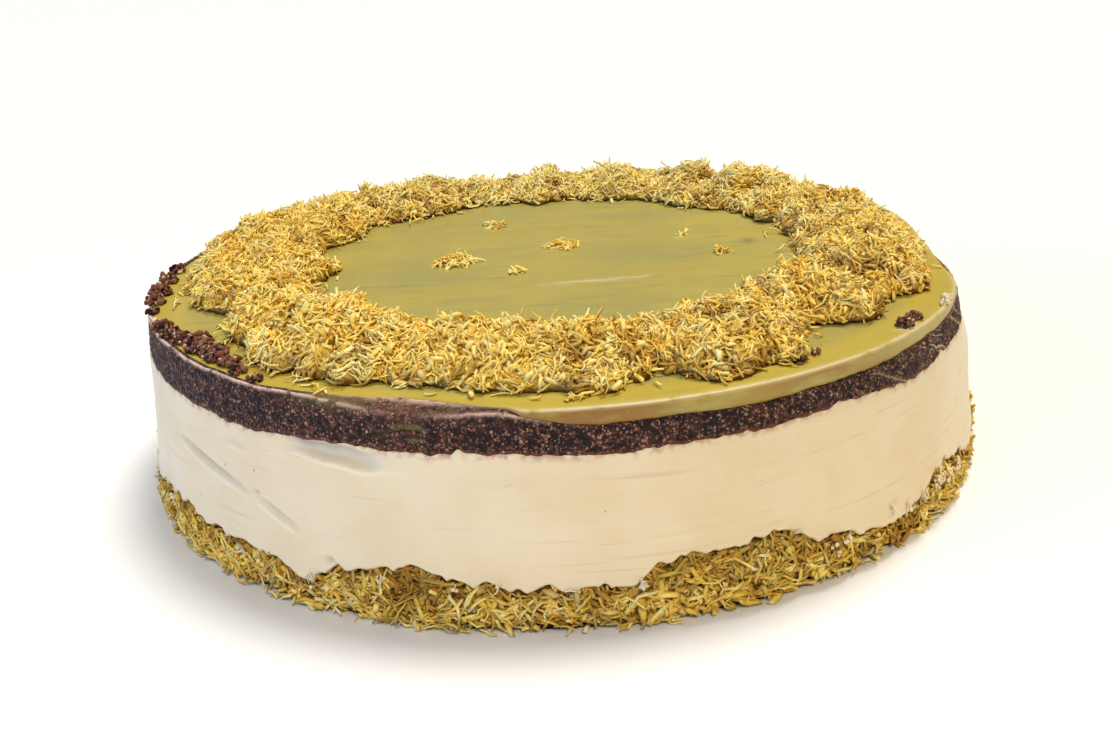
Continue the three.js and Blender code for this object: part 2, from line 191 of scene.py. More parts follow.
def lumps(points, size, seed=0):
    """Smooth noise from -1 to 1 at points of shape (..., 3), with lumps of the given size."""
    cell = np.asarray(points, dtype=float) / size
    corner = np.floor(cell).astype(np.int64)
    part = cell - corner
    part = part * part * (3.0 - 2.0 * part)
    total = np.zeros(cell.shape[:-1])
    for step in np.ndindex(2, 2, 2):
        key = corner + np.array(step)
        mixed = key[..., 0] * 374761393 + key[..., 1] * 668265263 + key[..., 2] * 1442695041
        mixed = (mixed + seed * 974634777) & 0xFFFFFFFF
        mixed = ((mixed ^ (mixed >> 13)) * 1274126177) & 0xFFFFFFFF
        value = ((mixed ^ (mixed >> 16)) & 0xFFFF) / 32767.5 - 1.0
        weight = np.prod(np.where(np.array(step) == 1, part, 1.0 - part), axis=-1)
        total += value * weight
    return total


def rough(points, size, seed=0, octaves=3):
    """Noise of several sizes, each half as large and half as strong as the one before."""
    return sum(lumps(points, size / 2**k, seed + k) / 2**k for k in range(octaves))


def clumpy(points, size, seed=0):
    """Round clumps with sharp clefts between them, about -0.95 to 1."""
    large = np.abs(lumps(points, size, seed))
    small = np.abs(lumps(points, 0.42 * size, seed + 3))
    return 1.7 * large**0.7 + 0.8 * small - 0.95


def on_wall(angle, height, radius=RIM_RADIUS):
    turn = np.radians(angle)
    angle, height, radius = np.broadcast_arrays(angle, height, radius)
    return np.stack([radius * np.cos(turn), radius * np.sin(turn), height], axis=-1)


# Lines between the layers, as in the solids -----------------------------------------------------

def wall_radius(height, angle):
    slump = sum_of_bumps(angle, RIM_SLUMPS) * smooth_step(SLUMP_FOOT, RIM_HEIGHT, height)
    return RIM_RADIUS + WALL_SLOPE * (RIM_HEIGHT - height) - slump


def rim_radius(angle):
    return wall_radius(RIM_HEIGHT, angle)


def cream_foot(angle):
    level = 13.6 + 0.7 * waver(angle, 9, 0.4)
    level = level + sum_of_bumps(angle, CREAM_NOTCHES) - sum_of_bumps(angle, CREAM_DRIPS)
    flat = on_wall(angle, 0.0)
    scallops = 2.4 * np.abs(lumps(flat, 6.5, 5)) + 1.3 * np.abs(lumps(flat, 2.6, 6)) - 1.1
    return level + scallops + 0.6 * lumps(flat, 11.0, 7)


def cream_seat(angle):
    return np.maximum(CREAM_BOTTOM, cream_foot(angle) + 0.3)


def cream_edge(angle):
    level = CREAM_TOP + 0.8 * waver(angle, 7, 2.2) - 1.4 * bump(angle, -46, 9)
    flat = on_wall(angle, 0.0)
    ragged = 0.45 * rough(flat, 4.0, 9, 3) + 0.3 * np.abs(lumps(flat, 1.9, 14))
    tongues = sum_of_bumps(angle, CREAM_TONGUES) * (0.6 + 0.8 * lumps(flat, 1.6, 15))
    return level + ragged + tongues - 0.1


def lip_share(angle):
    from_left = np.abs((angle - 166.0 + 540.0) % 360.0 - 180.0)
    left = 1.0 - smooth_step(94, 108, from_left)
    return np.maximum(left, 0.8 * bump(angle, -14, 16))


def lip_fold(angle):
    return bump(angle, FOLD_AT, FOLD_HALF)


def lip_width(angle):
    return LIP_WIDTH + FOLD_WIDER * lip_fold(angle)


def lip_top(angle):
    low = CHOCOLATE_TOP + 0.4 + 0.5 * waver(angle, 8, 1.1)
    high = RIM_HEIGHT + 0.3 + 0.3 * waver(angle, 12, 0.7) - FOLD_LOWER * lip_fold(angle)
    return between(low, high, lip_share(angle)) + 0.2 * rough(on_wall(angle, 0.0), 5.0, 17, 3)


def ring_edges(angle):
    inner = RING_INNER + 2 + sum_of_bumps(angle, RING_HOLE)
    outer = RING_OUTER - 2 + 0.8 * waver(angle, 11, 0.9) + sum_of_bumps(angle, RING_OUTLINE)
    return inner, outer


def ring_crest(angle):
    return RING_HEIGHT - 2 + sum_of_bumps(angle, RING_PEAKS) + 0.8 * waver(angle, 9, 1.7)


# Nodes and sockets ------------------------------------------------------------------------------

def operator_pair(operation):
    """The methods for one operation, with the socket first and with the other value first."""
    return (
        lambda self, other: self.graph.math(operation, self, other),
        lambda self, other: self.graph.math(operation, other, self),
    )


class Sock:
    """A node's output that Python arithmetic can be done on."""

    __add__, __radd__ = operator_pair("ADD")
    __sub__, __rsub__ = operator_pair("SUBTRACT")
    __mul__, __rmul__ = operator_pair("MULTIPLY")
    __truediv__, __rtruediv__ = operator_pair("DIVIDE")
    __pow__, __rpow__ = operator_pair("POWER")

    def __init__(self, graph, socket):
        self.graph = graph
        self.socket = socket

    def math(self, operation, *others):
        return self.graph.math(operation, self, *others)


class Graph:
    """A node tree that is written as expressions."""

    def __init__(self, tree):
        self.tree = tree

    def node(self, kind, settings=None, **values):
        """A node of a kind: its settings first, then the value or link of each named socket."""
        made = self.tree.nodes.new(kind)
        for name, value in (settings or {}).items():
            if name == "stops":
                for place, _ in value[2:]:
                    made.color_ramp.elements.new(place)
                for element, (place, colour) in zip(made.color_ramp.elements, value):
                    element.position = place
                    element.color = (*colour, 1.0)
            else:
                setattr(made, name, value)
        for name, value in values.items():
            self.plug(made, name.replace("_", " "), value)
        return made

    def plug(self, made, name, value):
        open_sockets = [s for s in made.inputs if s.enabled]
        socket = next((s for s in open_sockets if s.name.lower() == name.lower()), None)
        if socket is None:
            socket = open_sockets[int(name.split()[-1])]
        if isinstance(value, (list, tuple)) and value and isinstance(value[0], Sock):
            for one in value:
                self.tree.links.new(one.socket, socket)
        elif isinstance(value, Sock):
            self.tree.links.new(value.socket, socket)
        else:
            socket.default_value = value

    def out(self, made, name=None):
        open_sockets = [s for s in made.outputs if s.enabled]
        return Sock(self, next((s for s in open_sockets if s.name == name), open_sockets[0]))

    def get(self, kind, settings=None, output=None, **values):
        return self.out(self.node(kind, settings, **values), output)

    def math(self, operation, *values):
        made = self.tree.nodes.new("ShaderNodeMath")
        made.operation = operation
        for place, value in enumerate(values):
            if isinstance(value, Sock):
                self.tree.links.new(value.socket, made.inputs[place])
            else:
                made.inputs[place].default_value = value
        return self.out(made)

    def ramp(self, value, low, high):
        """0 below low and 1 above high, smooth between."""
        kind = {"interpolation_type": "SMOOTHSTEP"}
        return self.get("ShaderNodeMapRange", kind, output="Result", Value=value, From_Min=low, From_Max=high)

    def mix(self, factor, first, second, blend="MIX"):
        """The second colour over the first."""
        made = self.tree.nodes.new("ShaderNodeMix")
        made.data_type = "RGBA"
        made.blend_type = blend
        for name, value in (("Factor", factor), ("A", first), ("B", second)):
            if not isinstance(value, Sock) and name != "Factor":
                value = (*value, 1.0)
            self.plug(made, name, value)
        return self.out(made)


# Finishes ---------------------------------------------------------------------------------------

class Finish(Graph):
    """A material with one main shader."""

    def __init__(self, name):
        self.material = bpy.data.materials.new(name)
        self.material.use_nodes = True
        super().__init__(self.material.node_tree)
        self.shader = self.tree.nodes["Principled BSDF"]
        self.place = self.get("ShaderNodeTexCoord", output="Object")
        self.tint = None

    def set(self, **values):
        for name, value in values.items():
            self.plug(self.shader, name.replace("_", " "), value)

    def paint(self, amount, colour):
        """Lays a colour over the tint, as much as amount says from 0 to 1."""
        self.tint = self.mix(amount, self.tint, colour)

    def attribute(self, name):
        return self.get("ShaderNodeAttribute", {"attribute_name": name}, output="Fac")

    def stretched(self, x, y, z):
        made = self.tree.nodes.new("ShaderNodeVectorMath")
        made.operation = "MULTIPLY"
        self.tree.links.new(self.place.socket, made.inputs[0])
        made.inputs[1].default_value = (x, y, z)
        return self.out(made)

    def noise(self, size_mm, detail=3.0, roughness=0.55, where=None, distortion=0.0):
        """Noise from about 0.2 to 0.8 whose lumps have a size in millimetres."""
        return self.get(
            "ShaderNodeTexNoise", output="Fac", Vector=where or self.place, Scale=1.0 / (size_mm * MM),
            Detail=detail, Roughness=roughness, Distortion=distortion,
        )

    def patches(self, size_mm, detail, low, high, stretch=None):
        """1 in patches and 0 between them, from noise that may be stretched along x, y and z."""
        where = self.stretched(*stretch) if stretch else None
        return self.ramp(self.noise(size_mm, detail, where=where), low, high)

    def specks(self, size_mm, radius):
        """1 inside small round specks, one to a cell of the given size."""
        away = self.get(
            "ShaderNodeTexVoronoi", output="Distance", Vector=self.place, Scale=1.0 / (size_mm * MM),
            Randomness=1.0,
        )
        return 1.0 - self.ramp(away, 0.6 * radius, radius)

    def grains(self, size_mm):
        """Packed grains of the given size: each grain's own number from 0 to 1, and the distance from
        its middle in grain sizes."""
        scale = 1.0 / (size_mm * MM)
        made = self.node("ShaderNodeTexVoronoi", Vector=self.place, Scale=scale, Randomness=1.0)
        own = self.get("ShaderNodeSeparateColor", output="Red", Color=self.out(made, "Color"))
        return own, self.out(made, "Distance")

    def relief(self, height, depth_mm, strength=1.0):
        made = self.node("ShaderNodeBump", Height=height, Strength=strength, Distance=depth_mm * MM)
        self.tree.links.new(made.outputs[0], self.shader.inputs["Normal"])


def colours():
    return bpy.context.scene.cake_colours


def cream_finish():
    f = Finish("cream")
    c = colours()
    mottle = f.noise(22.0, 4.0)
    duller = tuple(v * k for v, k in zip(c.cream, (0.95, 0.92, 0.84)))
    f.tint = f.mix(f.ramp(mottle, 0.35, 0.7), c.cream, duller)
    streaks = f.noise(1.4, 3.0, where=f.stretched(0.035, 0.035, 1.0))
    f.paint(f.ramp(streaks, 0.6, 0.74) * 0.5, c.cream_stain)
    stain = f.attribute("near_edge") * f.patches(2.6, 4.0, 0.42, 0.6)
    f.paint(stain * 0.75, c.cocoa_stain)
    # painted shade in small pits in the cream
    pits = f.specks(7.5, 0.055) * f.patches(30.0, 1.0, 0.45, 0.6)
    f.paint(pits * 0.8, c.pit_shade)
    # painted shade in the dents and nicks, and a painted highlight on the cream pushed up beside them
    f.paint(f.attribute("dent") * (0.35 + 0.5 * f.noise(3.0, 4.0)), c.cream_shade)
    f.paint(f.attribute("ridge") * 0.7, c.painted_cream_highlight)
    f.set(Base_Color=f.tint, Roughness=0.33 + 0.2 * f.noise(5.0), IOR=1.42)
    f.set(Coat_Weight=0.12, Coat_Roughness=0.35)
    f.set(Subsurface_Weight=0.18, Subsurface_Scale=0.004, Subsurface_Radius=(1.0, 0.75, 0.45))
    f.relief(0.7 * streaks + 0.3 * f.noise(1.2, 4.0) - pits, 0.28, 0.6)
    return f.material


def crumb_tint(f, c, own, away, patch):
    """Packed cocoa crumbs: most of them dark, some dusty, a few pale, with painted shade, near black, in the
    gaps between them.
    """
    tint = f.mix(f.ramp(own, 0.25, 0.95), c.chocolate_deep, c.chocolate)
    tint = f.mix(f.ramp(own, 0.86, 0.95) * f.ramp(patch, 0.42, 0.6) * 0.8, tint, c.chocolate_pale)
    # painted shade: the gaps between the crumbs are darkened to near black
    return f.mix(f.ramp(away, 0.34, 0.62) * 0.9, tint, c.chocolate_deep)


def chocolate_finish():
    f = Finish("chocolate crumb")
    c = colours()
    own, away = f.grains(0.85)
    small, gap = f.grains(0.42)
    patch = f.noise(4.0, 3.0)
    f.tint = crumb_tint(f, c, own, away, patch)
    fine = f.ramp(small, 0.84, 0.94) * f.patches(2.0, 3.0, 0.4, 0.55)
    f.paint(fine * 0.6, c.chocolate_pale)
    f.paint(f.ramp(patch, 0.5, 0.7) * 0.3, c.chocolate)
    fringe = (1.0 - f.ramp(f.attribute("above_edge"), 0.2, 1.5)) * f.patches(2.4, 4.0, 0.4, 0.56)
    f.paint(fringe * 0.85, c.cocoa_red)
    fold = f.attribute("fold") * f.patches(1.6, 4.0, 0.38, 0.62)
    f.paint(fold * 0.6, c.cocoa_dust)
    oily = f.attribute("oily") * f.patches(6.0, 3.0, 0.36, 0.6, (0.4, 0.4, 1.0))
    f.paint(oily * 0.85, c.wiped_green)
    wipe = f.attribute("wiped") * f.patches(5.0, 4.0, 0.48, 0.6, (0.4, 0.4, 1.6))
    f.paint(wipe * 0.8, c.wiped_green)
    # a pale line along the lip's top edge: partly a cocoa-cream smear, partly a painted highlight
    lip = f.attribute("lip") * f.patches(3.5, 4.0, 0.3, 0.5)
    f.paint(lip * 0.9, c.lip_smear_and_highlight)
    slant = f.attribute("slant") + 3.0 * f.noise(5.0, 2.0)
    streaks = f.get(
        "ShaderNodeTexNoise", {"noise_dimensions": "1D"}, output="Fac", W=slant, Scale=0.6, Detail=4.0,
        Roughness=0.7,
    )
    smear = f.attribute("smeared") * f.ramp(streaks, 0.52, 0.66) * f.patches(4.0, 4.0, 0.44, 0.6)
    f.paint(smear * 0.85, c.cream_smear)
    f.set(Base_Color=f.tint, Roughness=0.6 + 0.3 * small, Specular_IOR_Level=0.3)
    f.relief((1.0 - away) * 0.7 + (1.0 - gap) * 0.3, 0.7, 1.0)
    return f.material


def loose_crumb_finish():
    """Crumbs that lie loose: each takes its own colour, from black cocoa to dusty and pale."""
    f = Finish("loose chocolate crumbs")
    c = colours()
    tone = f.attribute("tone") + 0.25 * (f.noise(1.4, 3.0) - 0.5)
    f.tint = f.mix(f.ramp(tone, 0.1, 0.4), c.chocolate_deep, c.chocolate)
    f.paint(f.ramp(tone, 0.5, 0.64), c.cocoa_dust)
    f.paint(f.ramp(tone, 0.88, 0.95) * 0.7, c.lip_smear_and_highlight)
    f.set(Base_Color=f.tint, Roughness=0.85, Specular_IOR_Level=0.25)
    f.relief(f.noise(0.5, 3.0), 0.2, 0.8)
    return f.material


def pistachio_finish():
    f = Finish("pistachio cream")
    c = colours()
    drift = f.noise(45.0, 3.0)
    f.tint = f.mix(f.ramp(drift, 0.35, 0.65), c.pistachio, c.pistachio_grey)
    spread = f.noise(9.0, 4.0, where=f.stretched(0.22, 1.0, 1.0))
    f.paint(f.ramp(spread, 0.5, 0.7) * 0.45, c.pistachio_yellow)
    brush = f.noise(3.0, 5.0, 0.65, where=f.stretched(0.12, 1.0, 1.0))
    f.paint((1.0 - f.ramp(brush, 0.3, 0.46)) * 0.3, c.dark_spot)
    side = f.attribute("side")
    stain = f.patches(6.0, 4.0, 0.3, 0.56, (0.4, 0.4, 1.5))
    f.paint(side * stain, c.rim_brown)
    f.paint(f.attribute("rim_yellow"), c.pistachio_yellow)
    streak = f.attribute("streak") * f.patches(3.5, 5.0, 0.3, 0.7, (0.3, 1.3, 1.0))
    f.paint(streak, c.cream_smear)
    f.paint(f.attribute("dark_spot"), c.dark_spot)
    fine = f.specks(2.2, 0.12) * f.patches(9.0, 3.0, 0.42, 0.6)
    f.paint(fine * 0.35, c.shred_green)
    f.paint(f.attribute("rim_line") * f.patches(6.0, 4.0, 0.3, 0.5), c.cream_smear)
    f.set(Base_Color=f.tint, Roughness=0.3 + 0.22 * f.noise(14.0), Coat_Weight=0.1, Coat_Roughness=0.25)
    f.set(Subsurface_Weight=0.08, Subsurface_Scale=0.002, IOR=1.45)
    f.relief(0.5 * spread + 0.3 * brush + 0.2 * f.noise(1.5, 3.0), 0.5, 0.8)
    return f.material


def shred_finish(name, *bands, paler_back_painted_light=0.0):
    """Fried dough in several colours by the shred's own tone: (tone from which it holds, colour)."""
    f = Finish(name)
    drift = 1.3 * (f.noise(11.0, 2.0) - 0.5) + 0.2 * (f.noise(2.5, 2.0) - 0.5)
    tone = 0.2 + 0.6 * f.attribute("tone") + drift
    # painted light: shreds towards the back of the cake are made paler, as if lit from behind
    if paler_back_painted_light:
        back = f.get("ShaderNodeSeparateXYZ", output="Y", Vector=f.place)
        tone = tone - paler_back_painted_light * f.ramp(back, 0.02, 0.1)
    f.tint = bands[0][1]
    for start, one in bands[1:]:
        f.paint(f.ramp(tone, start - 0.04, start + 0.04), one)
    toasted = f.patches(3.0, 3.0, 0.56, 0.76) * 0.25
    f.paint(toasted, colours().shred_dark)
    f.paint(f.attribute("shade") * 0.85, colours().shred_shade)
    f.set(Base_Color=f.tint, Roughness=0.6 + 0.25 * f.noise(0.8), Specular_IOR_Level=0.22)
    f.relief(f.noise(0.5, 3.0), 0.22, 0.8)
    return f.material


def heap_finish(name, light, middle, dark):
    """The dense inside of a heap of shreds: short threads that cross each other, with painted shadow between
    them and painted shade in its clefts.
    """
    f = Finish(name)
    threads = f.noise(1.3, 4.0, 0.6, where=f.stretched(1.0, 1.0, 0.45), distortion=1.2)
    f.tint = f.mix(f.ramp(threads, 0.34, 0.48), dark, middle)
    f.paint(f.ramp(threads, 0.48, 0.62), light)
    # painted shade in the clefts between clumps and low down where the heap meets the cake
    f.paint(f.attribute("cleft"), colours().cleft)
    f.set(Base_Color=f.tint, Roughness=0.85, Specular_IOR_Level=0.2)
    f.relief(threads, 1.4, 1.0)
    return f.material


def floor_finish():
    f = Finish("pale floor")
    f.set(Base_Color=(0.86, 0.86, 0.86, 1.0), Roughness=0.7 + 0.05 * f.noise(60.0))
    return f.material


# Meshes -----------------------------------------------------------------------------------------

def new_object(name, mesh, smooth=True):
    if smooth:
        mesh.shade_smooth()
    made = bpy.data.objects.new(name, mesh)
    bpy.context.collection.objects.link(made)
    return made


def settle(piece, slot, *nodes):
    """A finished piece: it rides on the cake and stands for its solids, which it hides. slot is not used."""
    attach(piece, BODY)
    if nodes:
        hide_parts(*nodes)
    return piece


def turned(name, rows, values=None, closed=False):
    """A turned mesh. rows is (rows, steps, 3) points in millimetres, anticlockwise in section. A row
    whose points are all one is a single vertex. values are named numbers of shape (rows, steps)."""
    count, steps = rows.shape[:2]
    poles = [False if closed else bool(np.ptp(rows[k], axis=0).max() < 1e-9) for k in range(count)]
    index = np.zeros((count, steps), dtype=np.int64)
    points = []
    start = 0
    for k in range(count):
        if poles[k]:
            index[k] = start
            points.append(rows[k, :1])
            start += 1
        else:
            index[k] = start + np.arange(steps)
            points.append(rows[k])
            start += steps
    faces = []
    pairs = [(k, k + 1) for k in range(count - 1)] + ([(count - 1, 0)] if closed else [])
    for low, high in pairs:
        a, b = index[low], np.roll(index[low], -1)
        d, c = index[high], np.roll(index[high], -1)
        if poles[low]:
            faces.append(np.stack([a, c, d], axis=1))
        elif poles[high]:
            faces.append(np.stack([a, b, d], axis=1))
        else:
            faces.append(np.stack([a, b, c, d], axis=1))
    mesh = bpy.data.meshes.new(name)
    corners = [tuple(face) for block in faces for face in block.tolist()]
    mesh.from_pydata((np.concatenate(points) * MM).tolist(), [], corners)
    for label, grid in (values or {}).items():
        flat = np.concatenate([grid[k, :1] if poles[k] else grid[k] for k in range(count)])
        attribute = mesh.attributes.new(label, "FLOAT", "POINT")
        attribute.data.foreach_set("value", flat.astype(np.float32))
    mesh.update()
    return mesh


def for_rows(values, angle):
    """One number or array a row, spread over the steps of a turned mesh."""
    return np.stack([np.broadcast_to(np.asarray(value, dtype=float), angle.shape) for value in values])


def spaced(*stretches):
    """Numbers along several stretches: (from, to, how many), without repeats at the joins."""
    parts = [np.linspace(low, high, many, endpoint=False) for low, high, many in stretches]
    return np.concatenate(parts + [[stretches[-1][1]]])


def turn_steps(many):
    return np.arange(many) * 360.0 / many - 90.0


# Geometry Nodes: shreds and crumbs --------------------------------------------------------------

def new_tree(name, sockets):
    tree = bpy.data.node_groups.new(name, "GeometryNodeTree")
    tree.interface.new_socket("Geometry", in_out="INPUT", socket_type="NodeSocketGeometry")
    for label, (kind, default) in sockets.items():
        socket = tree.interface.new_socket(label, in_out="INPUT", socket_type=f"NodeSocket{kind}")
        if default is not None:
            socket.default_value = default
    tree.interface.new_socket("Geometry", in_out="OUTPUT", socket_type="NodeSocketGeometry")
    return tree


def random_number(g, low, high, seed, salt):
    kind = {"data_type": "FLOAT"}
    return g.get("FunctionNodeRandomValue", kind, Min=low, Max=high, Seed=seed + float(salt))


def shred_shapes(g, length, width, draw, variants=30):
    """Crinkled strips of fried dough and the flakes they break into, as instances to pick from."""
    shapes = []
    for k in range(variants):
        flake = k % 3 == 0
        long = draw.uniform(0.3, 0.5) if flake else draw.choice((0.45, 0.55, 0.65, 0.8, 1.05))
        wide = draw.uniform(1.3, 2.0) if flake else draw.uniform(0.8, 1.25)
        bend, lean, hook = draw.uniform(-0.4, 0.4), draw.uniform(-0.3, 0.3), draw.uniform(-0.3, 0.3)
        ends = [(-0.5, 0.0, 0.0), (-0.15, bend, lean), (0.2, hook - bend, lean), (0.5, hook, 0.0)]
        corners = [
            g.get("ShaderNodeCombineXYZ", X=length * (long * x), Y=length * (long * y), Z=length * (long * z))
            for x, y, z in ends
        ]
        curve = g.get(
            "GeometryNodeCurvePrimitiveBezierSegment", Resolution=2 if flake else (4 if long > 1 else 3),
            Start=corners[0], Start_Handle=corners[1], End_Handle=corners[2], End=corners[3],
        )
        along = g.get("GeometryNodeSplineParameter", output="Factor")
        place = g.get("GeometryNodeInputPosition")
        crinkle = g.get(
            "ShaderNodeTexNoise", {"noise_dimensions": "4D"}, output="Color", Vector=place, W=k * 3.7,
            Scale=450.0, Detail=1.0,
        )
        crinkle = g.get("ShaderNodeVectorMath", {"operation": "SUBTRACT"}, in_0=crinkle, in_1=(0.5, 0.5, 0.5))
        crinkle = g.get("ShaderNodeVectorMath", {"operation": "SCALE"}, Vector=crinkle, Scale=width * 1.5)
        curve = g.get("GeometryNodeSetPosition", Geometry=curve, Offset=crinkle)
        taper = 1.1 - 0.6 * (2.0 * along - 1.0).math("ABSOLUTE") ** 2.5
        sides = 4 if flake else 3
        profile = g.get("GeometryNodeCurvePrimitiveCircle", Resolution=sides, Radius=width * (0.6 * wide))
        flat = (1.0, draw.uniform(0.35, 0.5) if flake else draw.uniform(0.5, 0.8), 1.0)
        profile = g.get("GeometryNodeTransform", Geometry=profile, Scale=flat)
        strip = g.get(
            "GeometryNodeCurveToMesh", Curve=curve, Profile_Curve=profile, Scale=taper, Fill_Caps=True,
        )
        shapes.append(g.get("GeometryNodeGeometryToInstance", Geometry=strip))
    return g.get("GeometryNodeJoinGeometry", Geometry=shapes)


def crumb_shapes(g, size, width, draw, variants=10):
    """Small uneven lumps about one size across, as instances to pick from."""
    shapes = []
    for k in range(variants):
        big = draw.choice((0.5, 0.7, 1.0, 1.4))
        ball = g.get("GeometryNodeMeshIcoSphere", output="Mesh", Radius=size * (0.55 * big), Subdivisions=1)
        place = g.get("GeometryNodeInputPosition")
        uneven = g.get(
            "ShaderNodeTexNoise", {"noise_dimensions": "4D"}, output="Fac", Vector=place, W=float(k),
            Scale=900.0, Detail=2.0,
        )
        grow = g.get("ShaderNodeCombineXYZ", X=0.5 + uneven, Y=0.2 + 1.4 * uneven, Z=0.3 + 0.8 * uneven)
        spot = g.get("ShaderNodeVectorMath", {"operation": "MULTIPLY"}, in_0=place, in_1=grow)
        ball = g.get("GeometryNodeSetPosition", Geometry=ball, Position=spot)
        shapes.append(g.get("GeometryNodeGeometryToInstance", Geometry=ball))
    return g.get("GeometryNodeJoinGeometry", Geometry=shapes)


def scatter_tree(name, shapes_of, seed):
    """Shapes laid over a surface. The surface's own numbers 'room' (0 to 1) and 'lift' say where
    they may lie and how far they may stand up."""
    tree = new_tree(name, {
        "Number per square metre": ("Float", 1000.0), "Length": ("Float", 0.007), "Width": ("Float", 0.001),
        "Least tilt": ("Float", -0.1), "Most tilt": ("Float", 0.6), "Depth": ("Float", 0.001),
        "Smallest": ("Float", 0.7), "Largest": ("Float", 1.2), "Seed": ("Int", 1),
        "Finish": ("Material", None),
    })
    g = Graph(tree)
    given = tree.nodes.new("NodeGroupInput")
    take = {s.name: Sock(g, s) for s in given.outputs}
    draw = random.Random(seed)
    shapes = shapes_of(g, take["Length"], take["Width"], draw)
    room = g.get("GeometryNodeInputNamedAttribute", {"data_type": "FLOAT"}, Name="room")
    lift = g.get("GeometryNodeInputNamedAttribute", {"data_type": "FLOAT"}, Name="lift")
    spread = g.node(
        "GeometryNodeDistributePointsOnFaces", Mesh=take["Geometry"],
        Density=take["Number per square metre"] * room, Seed=take["Seed"],
    )
    points = g.out(spread, "Points")
    seed_in = take["Seed"]
    rise = random_number(g, 0.0, 1.0, seed_in, 11) * take["Depth"] * lift
    normal = g.out(spread, "Normal")
    offset = g.get("ShaderNodeVectorMath", {"operation": "SCALE"}, Vector=normal, Scale=rise)
    points = g.get("GeometryNodeSetPosition", Geometry=points, Offset=offset)
    tilt_part = random_number(g, 0.0, 1.0, seed_in, 12) ** 2.0
    tilt = take["Least tilt"] + (take["Most tilt"] - take["Least tilt"]) * tilt_part * lift
    place = g.get("GeometryNodeInputPosition")
    drift = g.get("ShaderNodeTexNoise", output="Fac", Vector=place, Scale=110.0, Detail=1.0)
    yaw = g.get("ShaderNodeCombineXYZ", Z=drift * 14.0 + random_number(g, -1.2, 1.2, seed_in, 13))
    pitch = g.get("ShaderNodeCombineXYZ", X=random_number(g, -0.8, 0.8, seed_in, 14), Y=-1.0 * tilt)
    turn = g.out(spread, "Rotation")
    for angles in (yaw, pitch):
        by = g.get("FunctionNodeEulerToRotation", Euler=angles)
        turn = g.get("FunctionNodeRotateRotation", {"rotation_space": "LOCAL"}, Rotation=turn, Rotate_By=by)
    size = random_number(g, take["Smallest"], take["Largest"], seed_in, 15)
    pick = g.get("FunctionNodeRandomValue", {"data_type": "INT"}, Min=0, Max=63, Seed=seed_in + 16.0)
    laid = g.get(
        "GeometryNodeInstanceOnPoints", Points=points, Instance=shapes, Pick_Instance=True,
        Instance_Index=pick, Rotation=turn, Scale=size,
    )
    laid = g.get(
        "GeometryNodeStoreNamedAttribute", {"data_type": "FLOAT", "domain": "INSTANCE"}, Geometry=laid,
        Name="tone", Value=random_number(g, 0.0, 1.0, seed_in, 17),
    )
    laid = g.get("GeometryNodeRealizeInstances", Geometry=laid)
    laid = g.get("GeometryNodeSetShadeSmooth", Geometry=laid, Shade_Smooth=True)
    laid = g.get("GeometryNodeSetMaterial", Geometry=laid, Material=take["Finish"])
    g.node("NodeGroupOutput", Geometry=laid)
    return tree


def scattered(name, surface, tree, finish, keep=None, **inputs):
    """The piece that a scatter tree lays over a surface mesh. A shape stays only where keep(points)
    allows every one of its points."""
    carrier = new_object(name + "_carrier", surface)
    modifier = carrier.modifiers.new("scatter", "NODES")
    modifier.node_group = tree
    named = {item.name: item.identifier for item in tree.interface.items_tree if item.in_out == "INPUT"}
    modifier[named["Finish"]] = finish
    for label, value in inputs.items():
        modifier[named[label.replace("_", " ")]] = value
    carrier.update_tag()
    bpy.context.view_layer.update()
    evaluated = carrier.evaluated_get(bpy.context.evaluated_depsgraph_get())
    mesh = bpy.data.meshes.new_from_object(evaluated)
    mesh.name = name
    bpy.data.objects.remove(carrier)
    if keep is not None:
        mesh = trimmed(mesh, keep)
        mesh.materials.append(finish)
    for label in ("room", "lift", "cleft"):
        if label in mesh.attributes:
            mesh.attributes.remove(mesh.attributes[label])
    return new_object(name, mesh)


def read(items, name, width=1, kind=np.float32):
    values = np.empty(len(items) * width, dtype=kind)
    items.foreach_get(name, values)
    return values


def trimmed(mesh, keep):
    """A mesh without each loose shape that has a point outside what keep(points) allows; points in mm."""
    count = len(mesh.vertices)
    points = read(mesh.vertices, "co", 3)
    edges = read(mesh.edges, "vertices", 2, np.int32).reshape(-1, 2)
    # shapes are stored one after another, so a shape ends where no edge passes on to the next point
    passing = np.zeros(count + 1, dtype=np.int64)
    np.add.at(passing, edges.min(axis=1), 1)
    np.add.at(passing, edges.max(axis=1), -1)
    linked = np.cumsum(passing)[: count - 1] > 0
    shape = np.concatenate([[0], np.cumsum(~linked)])
    outside = np.bincount(shape, weights=~keep(points.reshape(-1, 3) / MM)) > 0
    stays = ~outside[shape]
    starts = read(mesh.polygons, "loop_start", kind=np.int32)
    totals = read(mesh.polygons, "loop_total", kind=np.int32)
    corners = read(mesh.loops, "vertex_index", kind=np.int32)
    faces = stays[corners[starts]]
    made = bpy.data.meshes.new(mesh.name + "_kept")
    made.vertices.add(int(stays.sum()))
    made.vertices.foreach_set("co", points.reshape(-1, 3)[stays].ravel())
    kept = corners[np.repeat(faces, totals)]
    made.loops.add(len(kept))
    made.loops.foreach_set("vertex_index", (np.cumsum(stays) - 1)[kept].astype(np.int32))
    totals = totals[faces]
    made.polygons.add(len(totals))
    made.polygons.foreach_set("loop_start", (np.cumsum(totals) - totals).astype(np.int32))
    made.update(calc_edges=True)
    for label in ("tone", "shade"):
        if label in mesh.attributes:
            attribute = made.attributes.new(label, "FLOAT", "POINT")
            attribute.data.foreach_set("value", read(mesh.attributes[label].data, "value")[stays])
    bpy.data.meshes.remove(mesh)
    return made


# Property groups --------------------------------------------------------------------------------

